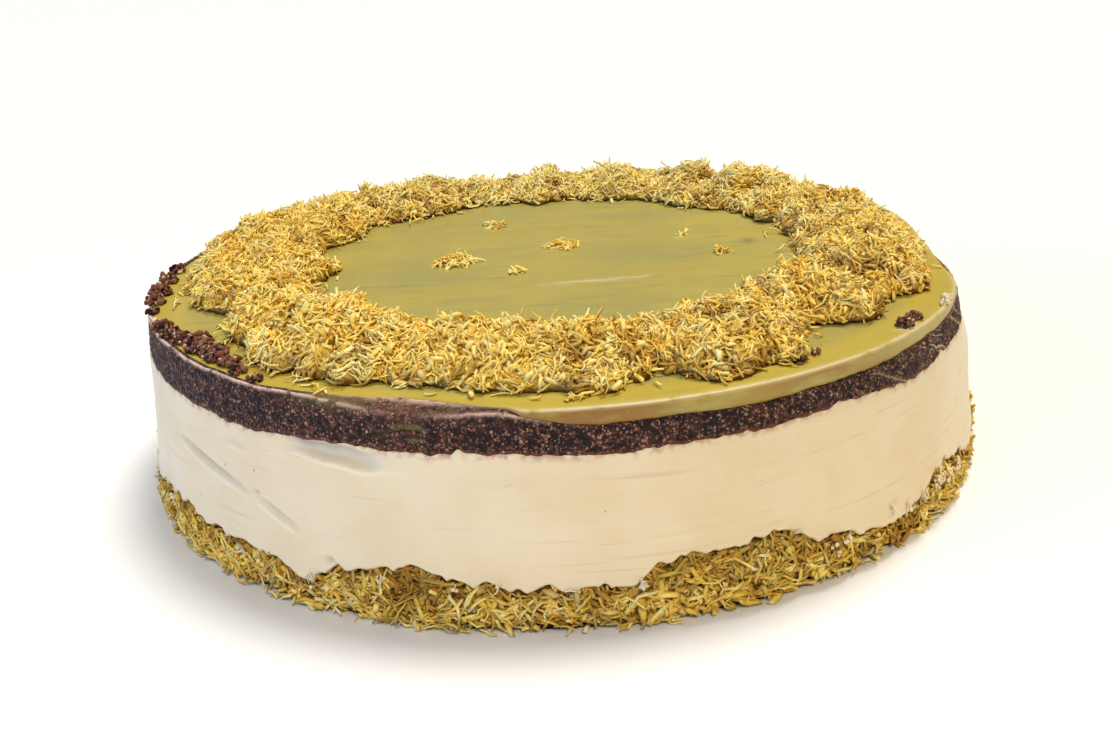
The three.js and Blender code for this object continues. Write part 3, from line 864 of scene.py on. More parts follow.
def colour(name, description, *rgb):
    return FloatVectorProperty(
        name=name, description=description, subtype="COLOR", size=3, min=0.0, max=1.0, default=rgb,
    )


def length(name, description, default):
    return FloatProperty(name=name, description=description, unit="LENGTH", default=default)


def turning(name, description, default):
    return FloatProperty(name=name, description=description, subtype="ANGLE", default=default)


class CakeColours(bpy.types.PropertyGroup):
    """Linear colours of the cake."""

    cream: colour("Cream", "The cheesecake cream", 0.86, 0.72, 0.48)
    cream_stain: colour("Cream streak", "Knife streaks in the cream", 0.66, 0.5, 0.3)
    # Painted shade inside the dents in the cream
    cream_shade: colour("Cream shade", "Inside dents in the cream", 0.6, 0.56, 0.42)
    # A painted highlight on the cream pushed up beside a dent
    painted_cream_highlight: colour("Bright cream", "Cream pushed up beside a dent", 0.98, 0.88, 0.62)
    cocoa_stain: colour("Cocoa stain", "Where cocoa has run into the cream", 0.5, 0.27, 0.16)
    # Painted shade in small pits in the cream
    pit_shade: colour("Pit", "Small dark pits in the cream", 0.3, 0.2, 0.12)
    chocolate: colour("Chocolate", "Chocolate crumb", 0.2, 0.065, 0.034)
    # The darkest crumbs, and also the painted shade in the gaps between crumbs
    chocolate_deep: colour("Deep chocolate", "Between the crumbs", 0.012, 0.006, 0.006)
    chocolate_pale: colour("Pale crumb", "Pale specks in the crumb", 0.6, 0.35, 0.22)
    cocoa_dust: colour("Cocoa dust", "Dusty crumbs", 0.24, 0.11, 0.065)
    cocoa_red: colour("Cocoa red", "The moist lower edge of the crumb", 0.2, 0.055, 0.022)
    # Cocoa-cream smear along the rim, also a painted highlight on the lip's top edge; a few loose crumbs take
    # it too
    lip_smear_and_highlight: colour("Lip smear", "Cocoa cream along the rim", 0.9, 0.62, 0.48)
    wiped_green: colour("Wiped green", "Pistachio wiped over the crumb", 0.17, 0.13, 0.035)
    cream_smear: colour("Cream smear", "Cream wiped over other layers", 0.72, 0.6, 0.38)
    pistachio: colour("Pistachio", "The pistachio cream", 0.44, 0.36, 0.078)
    pistachio_grey: colour("Dull pistachio", "Duller patches", 0.37, 0.32, 0.085)
    pistachio_yellow: colour("Bright pistachio", "Thin and bright patches", 0.52, 0.385, 0.045)
    rim_brown: colour("Rim brown", "Cocoa oil on the side of the pistachio cream", 0.3, 0.14, 0.018)
    dark_spot: colour("Dark spot", "A bruise on the pistachio cream", 0.16, 0.15, 0.08)
    shred_pale: colour("Pale shred", "Lightly fried shreds", 1.0, 0.84, 0.33)
    shred_yellow: colour("Yellow shred", "Fried shreds with pistachio oil", 1.0, 0.77, 0.2)
    shred_gold: colour("Golden shred", "Fried shreds", 0.97, 0.62, 0.1)
    shred_dark: colour("Dark shred", "Well fried shreds", 0.72, 0.36, 0.05)
    shred_shade: colour("Deep shred", "Shreds down between the clumps", 0.36, 0.16, 0.02)
    shred_green: colour("Green shred", "Shreds coated with pistachio", 0.8, 0.58, 0.12)
    base_pale: colour("Pale base shred", "Pale shreds in the base", 0.93, 0.78, 0.34)
    base_gold: colour("Golden base shred", "Shreds in the base", 0.84, 0.56, 0.09)
    base_olive: colour("Olive shred", "Shreds soaked in the base", 0.55, 0.4, 0.075)
    base_brown: colour("Brown shred", "Well soaked shreds in the base", 0.45, 0.2, 0.03)
    heap_light: colour("Heap", "The threads inside a heap", 0.86, 0.58, 0.1)
    heap_dark: colour("Heap shadow", "Deep inside a heap", 0.36, 0.2, 0.025)
    # Painted shade between the clumps of a heap and at its foot
    cleft: colour("Cleft", "Between the clumps of a heap", 0.12, 0.05, 0.008)


class KunafaSizes(bpy.types.PropertyGroup):
    """Sizes of the kunafa shreds."""

    ring_length: length("Ring shred length", "Mean length of a shred in the ring", 0.0084)
    ring_width: length("Ring shred width", "Width of a shred in the ring", 0.0014)
    base_length: length("Base shred length", "Mean length of a shred in the base", 0.0105)
    base_width: length("Base shred width", "Width of a shred in the base", 0.0017)
    cover: IntProperty(
        name="Shreds per square metre", description="How thickly shreds cover the ring", default=760000,
    )
    base_cover: IntProperty(
        name="Base shreds per square metre", description="How thickly shreds cover the base", default=760000,
    )


class StageSettings(bpy.types.PropertyGroup):
    """Where the camera stands."""

    distance: length("Distance", "From the cake's axis to the camera", 0.390)
    height: length("Height", "Of the camera over the floor", 0.16845)
    lens: FloatProperty(name="Lens", description="Focal length in millimetres", default=39.08)
    pitch: turning("Pitch", "Downward tilt", 0.3714)
    yaw: turning("Yaw", "Turn to the right", -0.0037)
    roll: turning("Roll", "Turn about the line of sight", -0.0567)


# Operators --------------------------------------------------------------------------------------

class CAKE_OT_stage(bpy.types.Operator):
    """Adds the floor, the lights and the camera"""

    bl_idname = "cake.stage"
    bl_label = "Stage"

    def execute(self, context):
        self.floor()
        self.light("key", (0.14, -0.85, 0.9), 14.0, 1.5, (1.0, 0.87, 0.65))
        self.light("fill", (-0.95, -0.45, 0.18), 50.0, 1.15, (0.2, 0.52, 1.4))
        self.light("top", (0.2, 0.3, 1.0), 20.0, 2.5, (1.0, 0.97, 0.88))
        world = bpy.data.worlds.new("studio")
        context.scene.world = world
        world.use_nodes = True
        g = Graph(world.node_tree)
        way = g.get("ShaderNodeTexCoord", output="Generated")
        rightward = g.get("ShaderNodeSeparateXYZ", output="X", Vector=way)
        tint = g.mix(g.ramp(rightward, -0.9, 0.9), (0.66, 0.86, 1.15), (0.5, 0.34, 0.13))
        sky = world.node_tree.nodes["Background"]
        g.plug(sky, "Color", tint)
        g.plug(sky, "Strength", 0.3)
        context.scene.view_settings.view_transform = "Standard"
        self.camera(context)
        return {"FINISHED"}

    def floor(self):
        half = 4.0
        mesh = bpy.data.meshes.new("floor")
        corners = [(-half, -half, 0), (half, -half, 0), (half, half, 0), (-half, half, 0)]
        mesh.from_pydata(corners, [], [(0, 1, 2, 3)])
        mesh.materials.append(floor_finish())
        new_object("floor", mesh, smooth=False)

    def light(self, name, place, spread, power, tint):
        """A wide soft light that shines from a place towards the cake, as strong all over the floor."""
        lamp = bpy.data.lights.new(name, "SUN")
        lamp.angle = math.radians(spread)
        lamp.energy = power
        lamp.color = tint
        made = bpy.data.objects.new(name, lamp)
        made.location = place
        made.rotation_euler = (-Vector(place)).to_track_quat("-Z", "Y").to_euler()
        bpy.context.collection.objects.link(made)

    def camera(self, context):
        s = context.scene.cake_stage
        ahead = math.cos(s.pitch)
        forward = Vector((math.sin(s.yaw) * ahead, math.cos(s.yaw) * ahead, -math.sin(s.pitch)))
        level = Vector((math.cos(s.yaw), -math.sin(s.yaw), 0.0))
        rise = level.cross(forward)
        right = math.cos(s.roll) * level + math.sin(s.roll) * rise
        up = math.cos(s.roll) * rise - math.sin(s.roll) * level
        data = bpy.data.cameras.new("camera")
        data.sensor_width = 36.0
        data.lens = s.lens
        data.clip_start = 0.01
        made = bpy.data.objects.new("camera", data)
        turn = Matrix((right, up, -forward)).transposed().to_4x4()
        made.matrix_world = Matrix.Translation((0.0, -s.distance, s.height)) @ turn
        context.collection.objects.link(made)
        context.scene.camera = made


def within_base(points):
    """True for points that stay on the floor and within the reach of the solids."""
    reach = min(-CAD_BOUNDS[0].x, -CAD_BOUNDS[0].y, CAD_BOUNDS[1].x, CAD_BOUNDS[1].y) / MM
    return (points[:, 2] > 0.02) & (np.hypot(points[:, 0], points[:, 1]) < reach)


class CAKE_OT_cream(bpy.types.Operator):
    """Pours the cheesecake cream, with its knife marks, dents and dripping foot"""

    bl_idname = "cake.cream"
    bl_label = "Cheesecake cream"

    STEPS = 1500
    WALL_ROWS = 56

    def execute(self, context):
        angle = turn_steps(self.STEPS)
        inside = BASE_REACH - 3.0
        foot = cream_foot(angle)
        seat = cream_seat(angle)
        edge = cream_edge(angle)
        rows = [on_wall(angle, CREAM_BOTTOM, 0.0), on_wall(angle, CREAM_BOTTOM, inside - 9)]
        rows.append(on_wall(angle, seat, inside - 0.4))
        rows.append(on_wall(angle, np.minimum(seat, foot + 0.6), inside + 0.2))
        rows.append(on_wall(angle, foot + 0.05, wall_radius(foot, angle) - 1.1))
        depth = [99.0] * 5
        for part in np.linspace(0.0, 1.0, self.WALL_ROWS):
            height = between(foot, edge, part)
            radius = self.wall(angle, height, foot, part)
            rows.append(on_wall(angle, height, radius))
            depth.append(edge - height)
        rows.append(on_wall(angle, edge + 0.02, wall_radius(edge, angle) - 1.2))
        rows += [on_wall(angle, CREAM_TOP, inside - 12), on_wall(angle, CREAM_TOP, 0.0)]
        depth += [0.0, 9.0, 9.0]
        below = for_rows(depth, angle)
        near = 1.0 - smooth_step(0.0, 2.2, below)
        stacked = np.stack(rows)
        marks = self.marks(np.broadcast_to(angle, below.shape), stacked[..., 2]) * (below > 0.3)
        # dent paints shade into the dents and nicks; ridge paints a highlight where the cream is pushed up
        values = {"near_edge": near, "dent": np.clip(marks / 1.2, 0, 1), "ridge": np.clip(-marks / 0.5, 0, 1)}
        mesh = turned("cheesecake_cream", stacked, values)
        finish = cream_finish()
        mesh.materials.append(finish)
        settle(new_object("cream_body", mesh), "cream", "cheesecake_cream")
        self.dabs(finish)
        return {"FINISHED"}

    def dabs(self, finish):
        """Torn bits of cream that hang on the shreds under the foot, most on the right."""
        reach = BASE_REACH + 1.2
        places = [(at, up, reach - 0.12 * up, wide, tall) for at, up, wide, tall in CREAM_DABS]
        surface = wall_patches("dab_places", places)
        tree = scatter_tree("Cream dabs", dab_shapes, 13)
        dabs = scattered(
            "cream_dabs", surface, tree, finish, within_base, Number_per_square_metre=2200000.0,
            Length=0.0052, Width=0.0012, Depth=0.0026, Smallest=0.5, Largest=1.0, Seed=9, Least_tilt=-0.1,
            Most_tilt=0.3,
        )
        settle(dabs, "cream")
        places = [(at, radius, RIM_HEIGHT + 0.3, wide, high) for at, radius, wide, high in RIM_DABS]
        rim = mounds("rim_dab_places", places)
        tree = scatter_tree("Rim dabs", dab_shapes, 14)
        dabs = scattered(
            "rim_dabs", rim, tree, finish, Number_per_square_metre=1200000.0, Length=0.0036, Width=0.001,
            Depth=0.0003, Smallest=0.5, Largest=1.0, Seed=10, Most_tilt=0.4,
        )
        settle(dabs, "cream")

    def wall(self, angle, height, foot, part):
        """The wall's radius: uneven and marked, and rounded in over its foot."""
        radius = wall_radius(height, angle) + 0.35 * waver(angle, 5, 3 * part) - self.marks(angle, height)
        points = on_wall(angle, height)
        flat = points * np.array([0.05, 0.05, 1.0])
        radius = radius + 0.09 * rough(flat, 1.6, 31, 2) + 0.12 * rough(points, 14.0, 37, 2)
        over_foot = height - foot
        return radius - 1.0 * np.exp(-over_foot / 0.45) + 0.4 * fade(over_foot - 1.1, 1.0)

    def marks(self, angle, height):
        """How deep the wall is dented, in millimetres; less than nothing where cream is pushed up."""
        angle = (angle + 270.0) % 360.0 - 270.0
        deep = 0.0 * angle
        for at, level, half, tall, down in CREAM_HOLES:
            deep = deep + down * fade(height - level, tall, 4) * bump(angle, at, half)
            pushed = fade(height - level + 1.6 * tall, 0.5) * bump(angle, at, 1.2 * half)
            deep = deep - 0.5 * pushed
        for at, half, level, tall, down in WALL_DENTS:
            low = level + 0.6 * waver(angle, 30, 1.0) - 0.11 * (angle - at)
            scoop = fade(height - low, tall, 4) * fade(angle - at, half, 4)
            deep = deep + down * scoop
            ridge = fade(height - low + 1.35 * tall, 0.75) * bump(angle, at + 0.5, 1.1 * half)
            deep = deep - 0.8 * ridge
        for start, end, down in WALL_NICKS:
            deep = deep + self.stroke(angle, height, start, end, down)
        return deep

    def stroke(self, angle, height, start, end, deep):
        """A knife's nick from one (angle, height) to another, with a ridge pushed up beneath it."""
        scale = math.radians(RIM_RADIUS)
        along = np.array([(end[0] - start[0]) * scale, end[1] - start[1]])
        long = float(np.hypot(*along))
        along = along / long
        x = (angle - start[0]) * scale
        y = height - start[1]
        s = np.clip((x * along[0] + y * along[1]) / long, 0.0, 1.0)
        across = -x * along[1] + y * along[0]
        beyond = np.hypot(x - s * long * along[0], y - s * long * along[1])
        ends = fade(np.sqrt(np.maximum(beyond**2 - across**2, 0.0)), 0.8)
        body = np.sin(np.pi * np.clip(s, 0.02, 0.98)) ** 0.5 * ends
        nick = fade(across, 0.8)
        ridge = fade(across + 1.3, 0.7)
        return body * (deep * nick - 0.6 * deep * ridge)


class CAKE_OT_chocolate(bpy.types.Operator):
    """Presses the chocolate crumb layer, with its raised lip and the crumbs along it"""

    bl_idname = "cake.chocolate"
    bl_label = "Chocolate crumb layer"

    STEPS = 1500
    WALL_ROWS = 30

    def execute(self, context):
        angle = turn_steps(self.STEPS)
        foot = cream_edge(angle) - 0.15
        top = lip_top(angle)
        fold = lip_fold(angle)
        share = lip_share(angle)
        side = top - FOLD_SLOPE * fold
        rows = [on_wall(angle, CREAM_TOP + 0.5, 0.0), on_wall(angle, CREAM_TOP + 0.5, BASE_REACH - 15)]
        rows.append(on_wall(angle, foot + 0.1, wall_radius(foot, angle) - 1.2))
        above = [9.0, 9.0, 0.0]
        line = [0.0, 0.0, 0.0]
        for part in np.linspace(0.0, 1.0, self.WALL_ROWS):
            height = between(foot, side, part)
            points = on_wall(angle, height)
            crumb = 0.2 * rough(points, 2.2, 41, 3) + 0.25 * np.abs(lumps(points, 1.3, 47))
            edges = 0.4 * (math.exp(-part / 0.05) + math.exp(-(1.0 - part) / 0.05))
            rows.append(on_wall(angle, height, wall_radius(height, angle) + 0.2 + crumb - edges))
            above.append(height - foot)
            # the pale line along the top of the wall: cocoa-cream smear and painted highlight
            line.append(fade(side - height, 0.4) * share * (1.0 - fold))
        inner = rim_radius(angle) - lip_width(angle)
        for part in np.linspace(0.0, 1.0, 7):
            ragged = lumps(on_wall(angle, 9.0 * part), 1.5, 45)
            radius = between(wall_radius(side, angle) - 0.4, inner, part) + 0.15 * ragged
            rows.append(on_wall(angle, between(side, top, part) + 0.1 + 0.18 * ragged, radius))
            above.append(9.0)
            # the pale line along the lip's outer edge and at the fold: cocoa-cream smear and painted
            # highlight
            outer_edge = math.exp(-part / 0.12) * share * (1.0 - fold)
            line.append(outer_edge + fold * math.exp(-(((1.0 - part) / 0.2) ** 2)))
        rows += [on_wall(angle, CHOCOLATE_TOP - 0.1, inner - 0.4), on_wall(angle, CHOCOLATE_TOP - 0.1, 0.0)]
        above += [9.0, 9.0]
        line += [0.0, 0.0]
        rows = np.stack(rows)
        above, line = for_rows(above, angle), for_rows(line, angle)
        heights = rows[..., 2]
        grid = np.broadcast_to(angle, heights.shape)
        low = smooth_step(49.5, 51, heights)
        values = {
            "above_edge": above, "lip": line,
            "fold": np.broadcast_to(fold, heights.shape) * smooth_step(54, 57, heights),
            "wiped": low * (1 - smooth_step(54, 55.5, heights)) * bump(grid, -105.5, 3.2),
            "oily": smooth_step(55.6, 57.2, heights) * bump(grid, -116.5, 3.5),
            "smeared": np.clip(bump(grid, -40, 12) + 0.6 * bump(grid, -16, 12), 0, 1),
            "slant": heights + 0.45 * np.radians(grid) * RIM_RADIUS,
        }
        mesh = turned("chocolate_layer", rows, values)
        mesh.materials.append(chocolate_finish())
        settle(new_object("chocolate_body", mesh), "chocolate_crumb", "chocolate_layer")
        self.crumbs()
        return {"FINISHED"}

    def crumbs(self):
        """Loose crumbs heaped on the lip and on the pistachio cream inside it."""
        places = [(at, radius, RIM_HEIGHT + 0.1, wide, high) for at, radius, wide, high in CRUMB_HEAPS]
        tree = scatter_tree("Chocolate crumbs", crumb_shapes, 7)
        crumbs = scattered(
            "chocolate_crumbs", mounds("crumb_places", places), tree, loose_crumb_finish(),
            Number_per_square_metre=4500000.0, Length=0.0014, Depth=0.0012, Smallest=0.4, Largest=1.3, Seed=3,
            Most_tilt=1.5,
        )
        settle(crumbs, "chocolate_crumb")


def scatter_places(name, points, faces):
    """A mesh to scatter on, all of it open to shapes; points in millimetres."""
    mesh = bpy.data.meshes.new(name)
    mesh.from_pydata([tuple(point * MM) for point in points], [], faces)
    for label in ("room", "lift"):
        attribute = mesh.attributes.new(label, "FLOAT", "POINT")
        attribute.data.foreach_set("value", np.ones(len(points), dtype=np.float32))
    return mesh


def mounds(name, places, sides=10):
    """Small round mounds: (angle, radius, height of the foot, how wide, how high) each."""
    points, faces = [], []
    for at, radius, level, wide, high in places:
        middle = on_wall(np.array(float(at)), level, radius)
        start = len(points)
        points.append(middle + np.array([0.0, 0.0, high]))
        for part in (0.5, 1.0):
            for k in range(sides):
                turn = 2 * math.pi * k / sides
                reach = 0.5 * wide * part
                away = np.array([reach * math.cos(turn), reach * math.sin(turn), high * (1 - part**2)])
                points.append(middle + away)
        for k in range(sides):
            a, b = start + 1 + k, start + 1 + (k + 1) % sides
            faces += [(start, a, b), (a, a + sides, b + sides, b)]
    return scatter_places(name, points, faces)


def wall_patches(name, places):
    """Small upright patches that face outwards: (angle, height, radius, how wide, how tall) each."""
    points, faces = [], []
    for at, height, radius, wide, tall in places:
        half = math.degrees(0.5 * wide / radius)
        start = len(points)
        for side, end in ((-1, -1), (1, -1), (1, 1), (-1, 1)):
            points.append(on_wall(np.array(at + side * half), height + 0.5 * end * tall, radius))
        faces.append(tuple(range(start, start + 4)))
    return scatter_places(name, points, faces)


def dab_shapes(g, length, width, draw):
    """Blobs and short strands."""
    blobs = crumb_shapes(g, width * 1.5, width, draw)
    strands = shred_shapes(g, length, width, draw, 6)
    return g.get("GeometryNodeJoinGeometry", Geometry=[blobs, strands])


class CAKE_OT_pistachio(bpy.types.Operator):
    """Spreads the pistachio cream, with its spread marks and the shreds that fell on it"""

    bl_idname = "cake.pistachio"
    bl_label = "Pistachio cream"

    STEPS = 720

    def execute(self, context):
        angle = turn_steps(self.STEPS)
        lip = lip_top(angle)
        covered = smooth_step(RIM_HEIGHT - 1.9, RIM_HEIGHT - 0.6, lip)
        rim = rim_radius(angle)
        reach = rim + 0.25 - (lip_width(angle) + 0.15) * covered
        foot = np.minimum(lip - 0.1, RIM_HEIGHT - 0.4)
        inside = rim - lip_width(angle) - 1.0
        rows = [on_wall(angle, CHOCOLATE_TOP, 0.0), on_wall(angle, CHOCOLATE_TOP, inside)]
        rows.append(on_wall(angle, foot, reach - 1.0))
        side = [0.0, 0.0, 1.0]
        for part in np.linspace(0.0, 1.0, 9):
            height = between(foot, RIM_HEIGHT - 0.5, part)
            swell = 0.25 * np.sin(np.pi * part) + 0.12 * rough(on_wall(angle, height), 5.0, 51, 3)
            rows.append(on_wall(angle, height, reach + swell - 0.25 * (1 - part)))
            side.append(1.0)
        for turn in np.linspace(0.25, 1.0, 4) * math.pi / 2:
            out = 0.55 * math.cos(turn)
            rows.append(on_wall(angle, RIM_HEIGHT - 0.5 + 0.5 * math.sin(turn), reach - 0.55 + out))
            side.append(1.0 - turn / (math.pi / 2))
        rings = [between(reach - 0.7, 117.0, part) for part in np.linspace(0.08, 1.0, 12)]
        rings += [np.full(angle.shape, radius) for radius in spaced((117.0, 92.0, 6), (92.0, 0.0, 74))[1:]]
        for radii in rings:
            points = on_wall(angle, RIM_HEIGHT, radii)
            strokes = rough(points * np.array([0.35, 1.0, 1.0]), 16.0, 57, 3)
            rise = 0.28 * strokes + 0.1 * rough(points, 5.0, 61, 2)
            rise = rise - 0.12 + 0.25 * fade(radii - rim + 2.5, 1.6) * (1.0 - lip_fold(angle))
            points = points + np.stack([0 * rise, 0 * rise, np.where(radii > 0, rise, 0.0)], axis=-1)
            rows.append(points)
            side.append(0.0)
        rows = np.stack(rows)
        side = for_rows(side, angle)
        side = side * np.clip(0.2 + 0.8 * bump(angle, -88, 17) + 0.6 * bump(angle, -58, 12), 0, 1)
        x, y = rows[..., 0], rows[..., 1]
        streak = sum(strong * self.line(x, y, start, end, wide) for start, end, wide, strong in PALE_STREAKS)
        spot_x, spot_y, half_x, half_y = DARK_SPOT
        spot = fade(x - spot_x, half_x) * fade(y - spot_y, half_y)
        far = np.hypot(x, y)
        yellow = smooth_step(116, 122, far) * (1 - side) * 0.75
        edge = fade(far - reach + 0.5, 0.55)
        edge = edge * (rows[..., 2] > RIM_HEIGHT - 0.7) * (1 - covered)
        values = {
            "side": side, "streak": np.clip(streak, 0, 1), "dark_spot": 0.7 * spot, "rim_yellow": yellow,
            "rim_line": 0.75 * edge,
        }
        mesh = turned("pistachio_cream", rows, values)
        mesh.materials.append(pistachio_finish())
        settle(new_object("pistachio_body", mesh), "pistachio", "pistachio_cream")
        self.loose_shreds(context)
        return {"FINISHED"}

    def line(self, x, y, start, end, wide):
        """1 on a straight smear between two places, fading to its sides."""
        along = np.array(end, dtype=float) - np.array(start, dtype=float)
        long2 = float(along @ along)
        s = np.clip(((x - start[0]) * along[0] + (y - start[1]) * along[1]) / long2, 0.0, 1.0)
        away = np.hypot(x - start[0] - s * along[0], y - start[1] - s * along[1])
        return fade(away, wide)

    def loose_shreds(self, context):
        sizes = context.scene.kunafa_sizes
        places = []
        for x, y, spread, high in LOOSE_CLUMPS:
            at, far = math.degrees(math.atan2(y, x)), math.hypot(x, y)
            places.append((at, far, RIM_HEIGHT + 0.1, 2.0 * spread, 0.6 * high))
        tree = scatter_tree("Loose shreds", shred_shapes, 19)
        shreds = scattered(
            "loose_shreds", mounds("loose_places", places), tree, ring_shred_finish(),
            Number_per_square_metre=420000.0, Length=sizes.ring_length * 0.8, Width=sizes.ring_width,
            Depth=0.0006, Most_tilt=0.7, Seed=5,
        )
        settle(shreds, "golden_kunafa")


def ring_shred_finish():
    made = bpy.data.materials.get("golden shreds")
    if made is None:
        c = colours()
        made = shred_finish(
            "golden shreds", (0.0, c.shred_pale), (0.34, c.shred_yellow), (0.66, c.shred_gold),
            (0.86, c.shred_green), (0.95, c.shred_dark), paler_back_painted_light=0.3,
        )
    return made


class CAKE_OT_ring(bpy.types.Operator):
    """Heaps the ring of loose kunafa shreds on the pistachio cream"""

    bl_idname = "cake.ring"
    bl_label = "Kunafa ring"

    STEPS = 700

    def execute(self, context):
        angle = turn_steps(self.STEPS)
        inner, outer = ring_edges(angle)
        around = on_wall(angle, 0.0, 110.0)
        inner = inner + 2.0 - 2.8 * clumpy(around, 9.0, 67)
        outer = np.minimum(outer - 2.0 + 2.8 * clumpy(around, 10.0, 63), rim_radius(angle) - 2.5)
        crest = ring_crest(angle) - 1.6
        rows, open_room, shade = [], [], []
        for across in spaced((1.0, 0.9, 7), (0.9, 0.1, 48), (0.1, 0.0, 7)):
            shape = math.sin(math.pi * across) ** 0.55 if 0 < across < 1 else 0.0
            radius = between(inner, outer, across)
            flat = on_wall(angle, 0.0, radius)
            knots = clumpy(flat, 5.5, 75)
            heap = crest + 0.9 * tufts(angle, across) + 3.2 * clumpy(flat, 12.0, 71) + 2.8 * knots
            rows.append(on_wall(angle, RIM_HEIGHT + 0.1 + np.maximum(heap * shape, 0.0), radius))
            open_room.append(smooth_step(-0.66, -0.45, knots))
            shade.append(1.0 - smooth_step(-0.5, 0.15, knots))
        rows += [on_wall(angle, RIM_HEIGHT, inner + 1), on_wall(angle, RIM_HEIGHT, outer - 1)]
        open_room += [np.zeros(self.STEPS)] * 2
        shade += open_room[-2:]
        room = np.stack(open_room)
        rows = np.stack(rows)
        # painted shade where no shreds lie and low down where the heap meets the pistachio cream
        cleft = np.maximum(1.0 - room, 1.0 - smooth_step(RIM_HEIGHT + 0.6, RIM_HEIGHT + 2.6, rows[..., 2]))
        core = turned("kunafa_ring", rows, {
            "room": room, "lift": room, "cleft": cleft, "shade": np.stack(shade),
        }, closed=True)
        c = colours()
        core.materials.append(heap_finish("ring heap", c.shred_yellow, c.heap_light, c.heap_dark))
        sizes = context.scene.kunafa_sizes
        tree = scatter_tree("Ring shreds", shred_shapes, 29)
        for name, surface, part, depth, least, most, seed in (
            ("lying", core.copy(), 0.36, 0.0006, -0.3, 0.4, 1),
            ("tangled", core.copy(), 0.36, 0.0012, -0.3, 0.8, 2),
            ("standing", core.copy(), 0.28, 0.0018, 0.0, 1.2, 3),
            ("stray", self.strays(angle, inner, outer), 0.5, 0.0003, 0.0, 0.1, 6),
        ):
            piece = scattered(
                f"ring_shreds_{name}", surface, tree, ring_shred_finish(), self.on_the_cake,
                Number_per_square_metre=part * sizes.cover, Length=sizes.ring_length, Width=sizes.ring_width,
                Depth=depth, Least_tilt=least, Most_tilt=most, Seed=seed,
            )
            settle(piece, "golden_kunafa", "kunafa_ring")
        settle(new_object("ring_heap", core), "golden_kunafa", "kunafa_ring")
        return {"FINISHED"}

    def strays(self, angle, inner, outer):
        """Flat strips beside the ring, with a little room for single shreds."""
        limit = rim_radius(angle) - 2.2
        rows = [on_wall(angle, RIM_HEIGHT + 0.4, np.minimum(outer + out, limit)) for out in (6.0, 3.0, 0.5)]
        rows += [on_wall(angle, RIM_HEIGHT + 0.4, inner - out) for out in (0.5, 3.0, 7.0)]
        rows = np.stack(rows)
        near = np.array([0.0, 0.6, 1.0, 1.0, 0.5, 0.0])[:, None]
        room = near * (0.25 + smooth_step(0.05, 0.5, lumps(rows, 5.0, 77))) * 0.4
        room[2:4] *= np.array([[1.0], [0.0]])
        return turned("stray_places", rows, {"room": room, "lift": np.ones_like(room)})

    def on_the_cake(self, points):
        """True for points over the pistachio cream, within the rim and the reach of the solids."""
        angle = np.degrees(np.arctan2(points[:, 1], points[:, 0]))
        far = np.hypot(points[:, 0], points[:, 1])
        level = (points[:, 2] < CAD_BOUNDS[1].z / MM) & (points[:, 2] > RIM_HEIGHT - 0.2)
        return level & (far < rim_radius(angle) + 0.6)


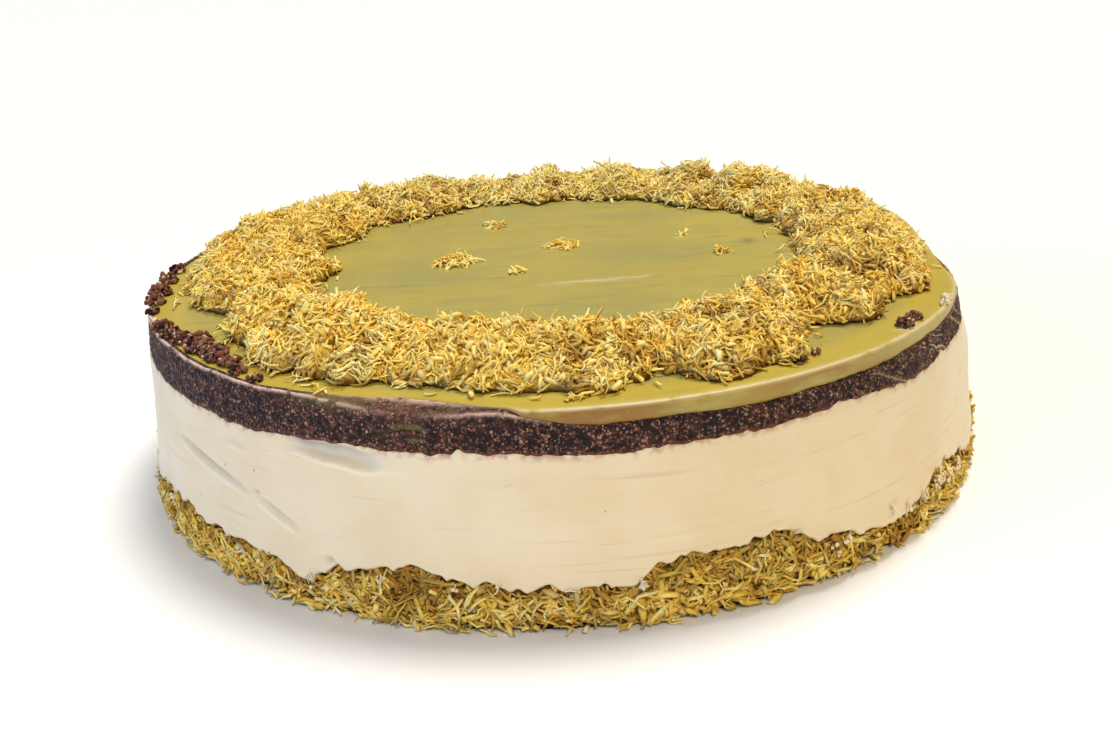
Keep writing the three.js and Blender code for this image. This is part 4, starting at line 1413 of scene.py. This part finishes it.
class CAKE_OT_base(bpy.types.Operator):
    """Packs the base of toasted kunafa shreds under the cream"""

    bl_idname = "cake.base"
    bl_label = "Kunafa base"

    STEPS = 800

    def execute(self, context):
        angle = turn_steps(self.STEPS)
        top = cream_seat(angle) - 0.4
        foot = cream_foot(angle)
        rows = [on_wall(angle, 0.0, 0.0), on_wall(angle, 0.0, BASE_REACH - 3.0)]
        closed = np.zeros(self.STEPS)
        room = [closed, closed]
        shade = [closed, closed]
        for part in np.linspace(0.02, 1.0, 20):
            height = part * top
            belly = BASE_REACH - 1.6 + 0.8 * tufts(angle, part) - 1.8 * part**3 - 2.2 * math.exp(-part / 0.14)
            knots = clumpy(on_wall(angle, height), 6.0, 83)
            radius = belly + 1.2 * knots
            covered = smooth_step(foot - 1.0, foot + 0.3, height)
            radius = between(radius, np.minimum(radius, wall_radius(height, angle) - 1.1), covered)
            rows.append(on_wall(angle, height, radius))
            room.append(smooth_step(-0.68, -0.45, knots))
            shade.append(1.0 - smooth_step(-0.5, 0.1, knots))
        rows.append(on_wall(angle, top, BASE_REACH - 5.0))
        rows += [on_wall(angle, CREAM_BOTTOM - 0.5, radius) for radius in (BASE_REACH - 12.0, 0.0)]
        room += [closed + 0.3, closed, closed]
        shade += [closed, closed, closed]
        room = np.stack(room)
        rows = np.stack(rows)
        heights = rows[..., 2]
        # painted shade under the cream's foot and where the base meets the floor; the shreds under the foot
        # are given painted shade too
        dark = np.maximum(smooth_step(foot - 3.0, foot - 0.5, heights), 1.0 - smooth_step(0.5, 3.0, heights))
        shade = np.maximum(np.stack(shade), 0.8 * smooth_step(foot - 3.5, foot - 0.3, heights))
        cleft = np.maximum(1.0 - room, dark)
        core = turned("kunafa_base", rows, {"room": room, "lift": room, "cleft": cleft, "shade": shade})
        c = colours()
        core.materials.append(heap_finish("base heap", c.base_gold, c.base_olive, c.heap_dark))
        sizes = context.scene.kunafa_sizes
        tree = scatter_tree("Base shreds", shred_shapes, 41)
        finish = shred_finish(
            "toasted shreds", (0.0, c.base_pale), (0.22, c.shred_yellow), (0.4, c.base_gold),
            (0.66, c.base_olive), (0.86, c.base_brown),
        )
        for name, surface, part, depth, most, seed in (
            ("lying", core.copy(), 0.6, 0.001, 0.4, 4), ("standing", core.copy(), 0.4, 0.0016, 1.0, 5),
            ("fringe", self.fringe(angle), 0.6, 0.0012, 0.3, 8),
        ):
            piece = scattered(
                f"base_shreds_{name}", surface, tree, finish, self.under_the_cream,
                Number_per_square_metre=part * sizes.base_cover, Length=sizes.base_length,
                Width=sizes.base_width, Depth=depth, Most_tilt=most, Seed=seed,
            )
            settle(piece, "toasted_kunafa", "kunafa_base")
        settle(new_object("base_heap", core), "toasted_kunafa", "kunafa_base")
        return {"FINISHED"}

    def fringe(self, angle):
        """A flat strip on the floor round the foot, for shreds that stick out there."""
        rows = np.stack([on_wall(angle, 0.9, BASE_REACH + out) for out in (2.2, 0.8, -1.5)])
        room = (0.3 + smooth_step(-0.3, 0.4, lumps(rows, 6.0, 87))) * np.array([[0.0], [1.0], [1.0]])
        return turned("fringe_places", rows, {"room": room, "lift": np.ones_like(room)})

    def under_the_cream(self, points):
        """False for points in the skin of the cream, or out of the solids' reach."""
        angle = np.degrees(np.arctan2(points[:, 1], points[:, 0]))
        radius = np.hypot(points[:, 0], points[:, 1])
        height = points[:, 2]
        foot = cream_foot(angle)
        proud = radius - wall_radius(height, angle)
        clear = (proud < -0.6) | ((proud > 0.6) & (height < foot + 2.0))
        return ((height < foot + 0.3) | clear) & within_base(points)


class CAKE_PT_panel(bpy.types.Panel):
    """Lists the steps of the cake"""

    bl_label = "Kunafa cheesecake"
    bl_idname = "CAKE_PT_panel"
    bl_space_type = "VIEW_3D"
    bl_region_type = "UI"
    bl_category = "Cake"

    def draw(self, context):
        for step in STEPS:
            self.layout.operator(step.bl_idname)
        for group in (context.scene.kunafa_sizes, context.scene.cake_stage, context.scene.cake_colours):
            box = self.layout.box()
            for name in group.bl_rna.properties.keys():
                if name not in ("rna_type", "name"):
                    box.prop(group, name)


STEPS = (CAKE_OT_stage, CAKE_OT_cream, CAKE_OT_chocolate, CAKE_OT_pistachio, CAKE_OT_ring, CAKE_OT_base)
GROUPS = {"cake_colours": CakeColours, "kunafa_sizes": KunafaSizes, "cake_stage": StageSettings}


def register():
    for one in (*GROUPS.values(), *STEPS, CAKE_PT_panel):
        bpy.utils.register_class(one)
    for name, group in GROUPS.items():
        setattr(bpy.types.Scene, name, PointerProperty(type=group))


def unregister():
    for name in GROUPS:
        delattr(bpy.types.Scene, name)
    for one in reversed((*GROUPS.values(), *STEPS, CAKE_PT_panel)):
        bpy.utils.unregister_class(one)


def main():
    register()
    for step in STEPS:
        group, name = step.bl_idname.split(".")
        getattr(getattr(bpy.ops, group), name)()


if __name__ == "__main__":
    main()
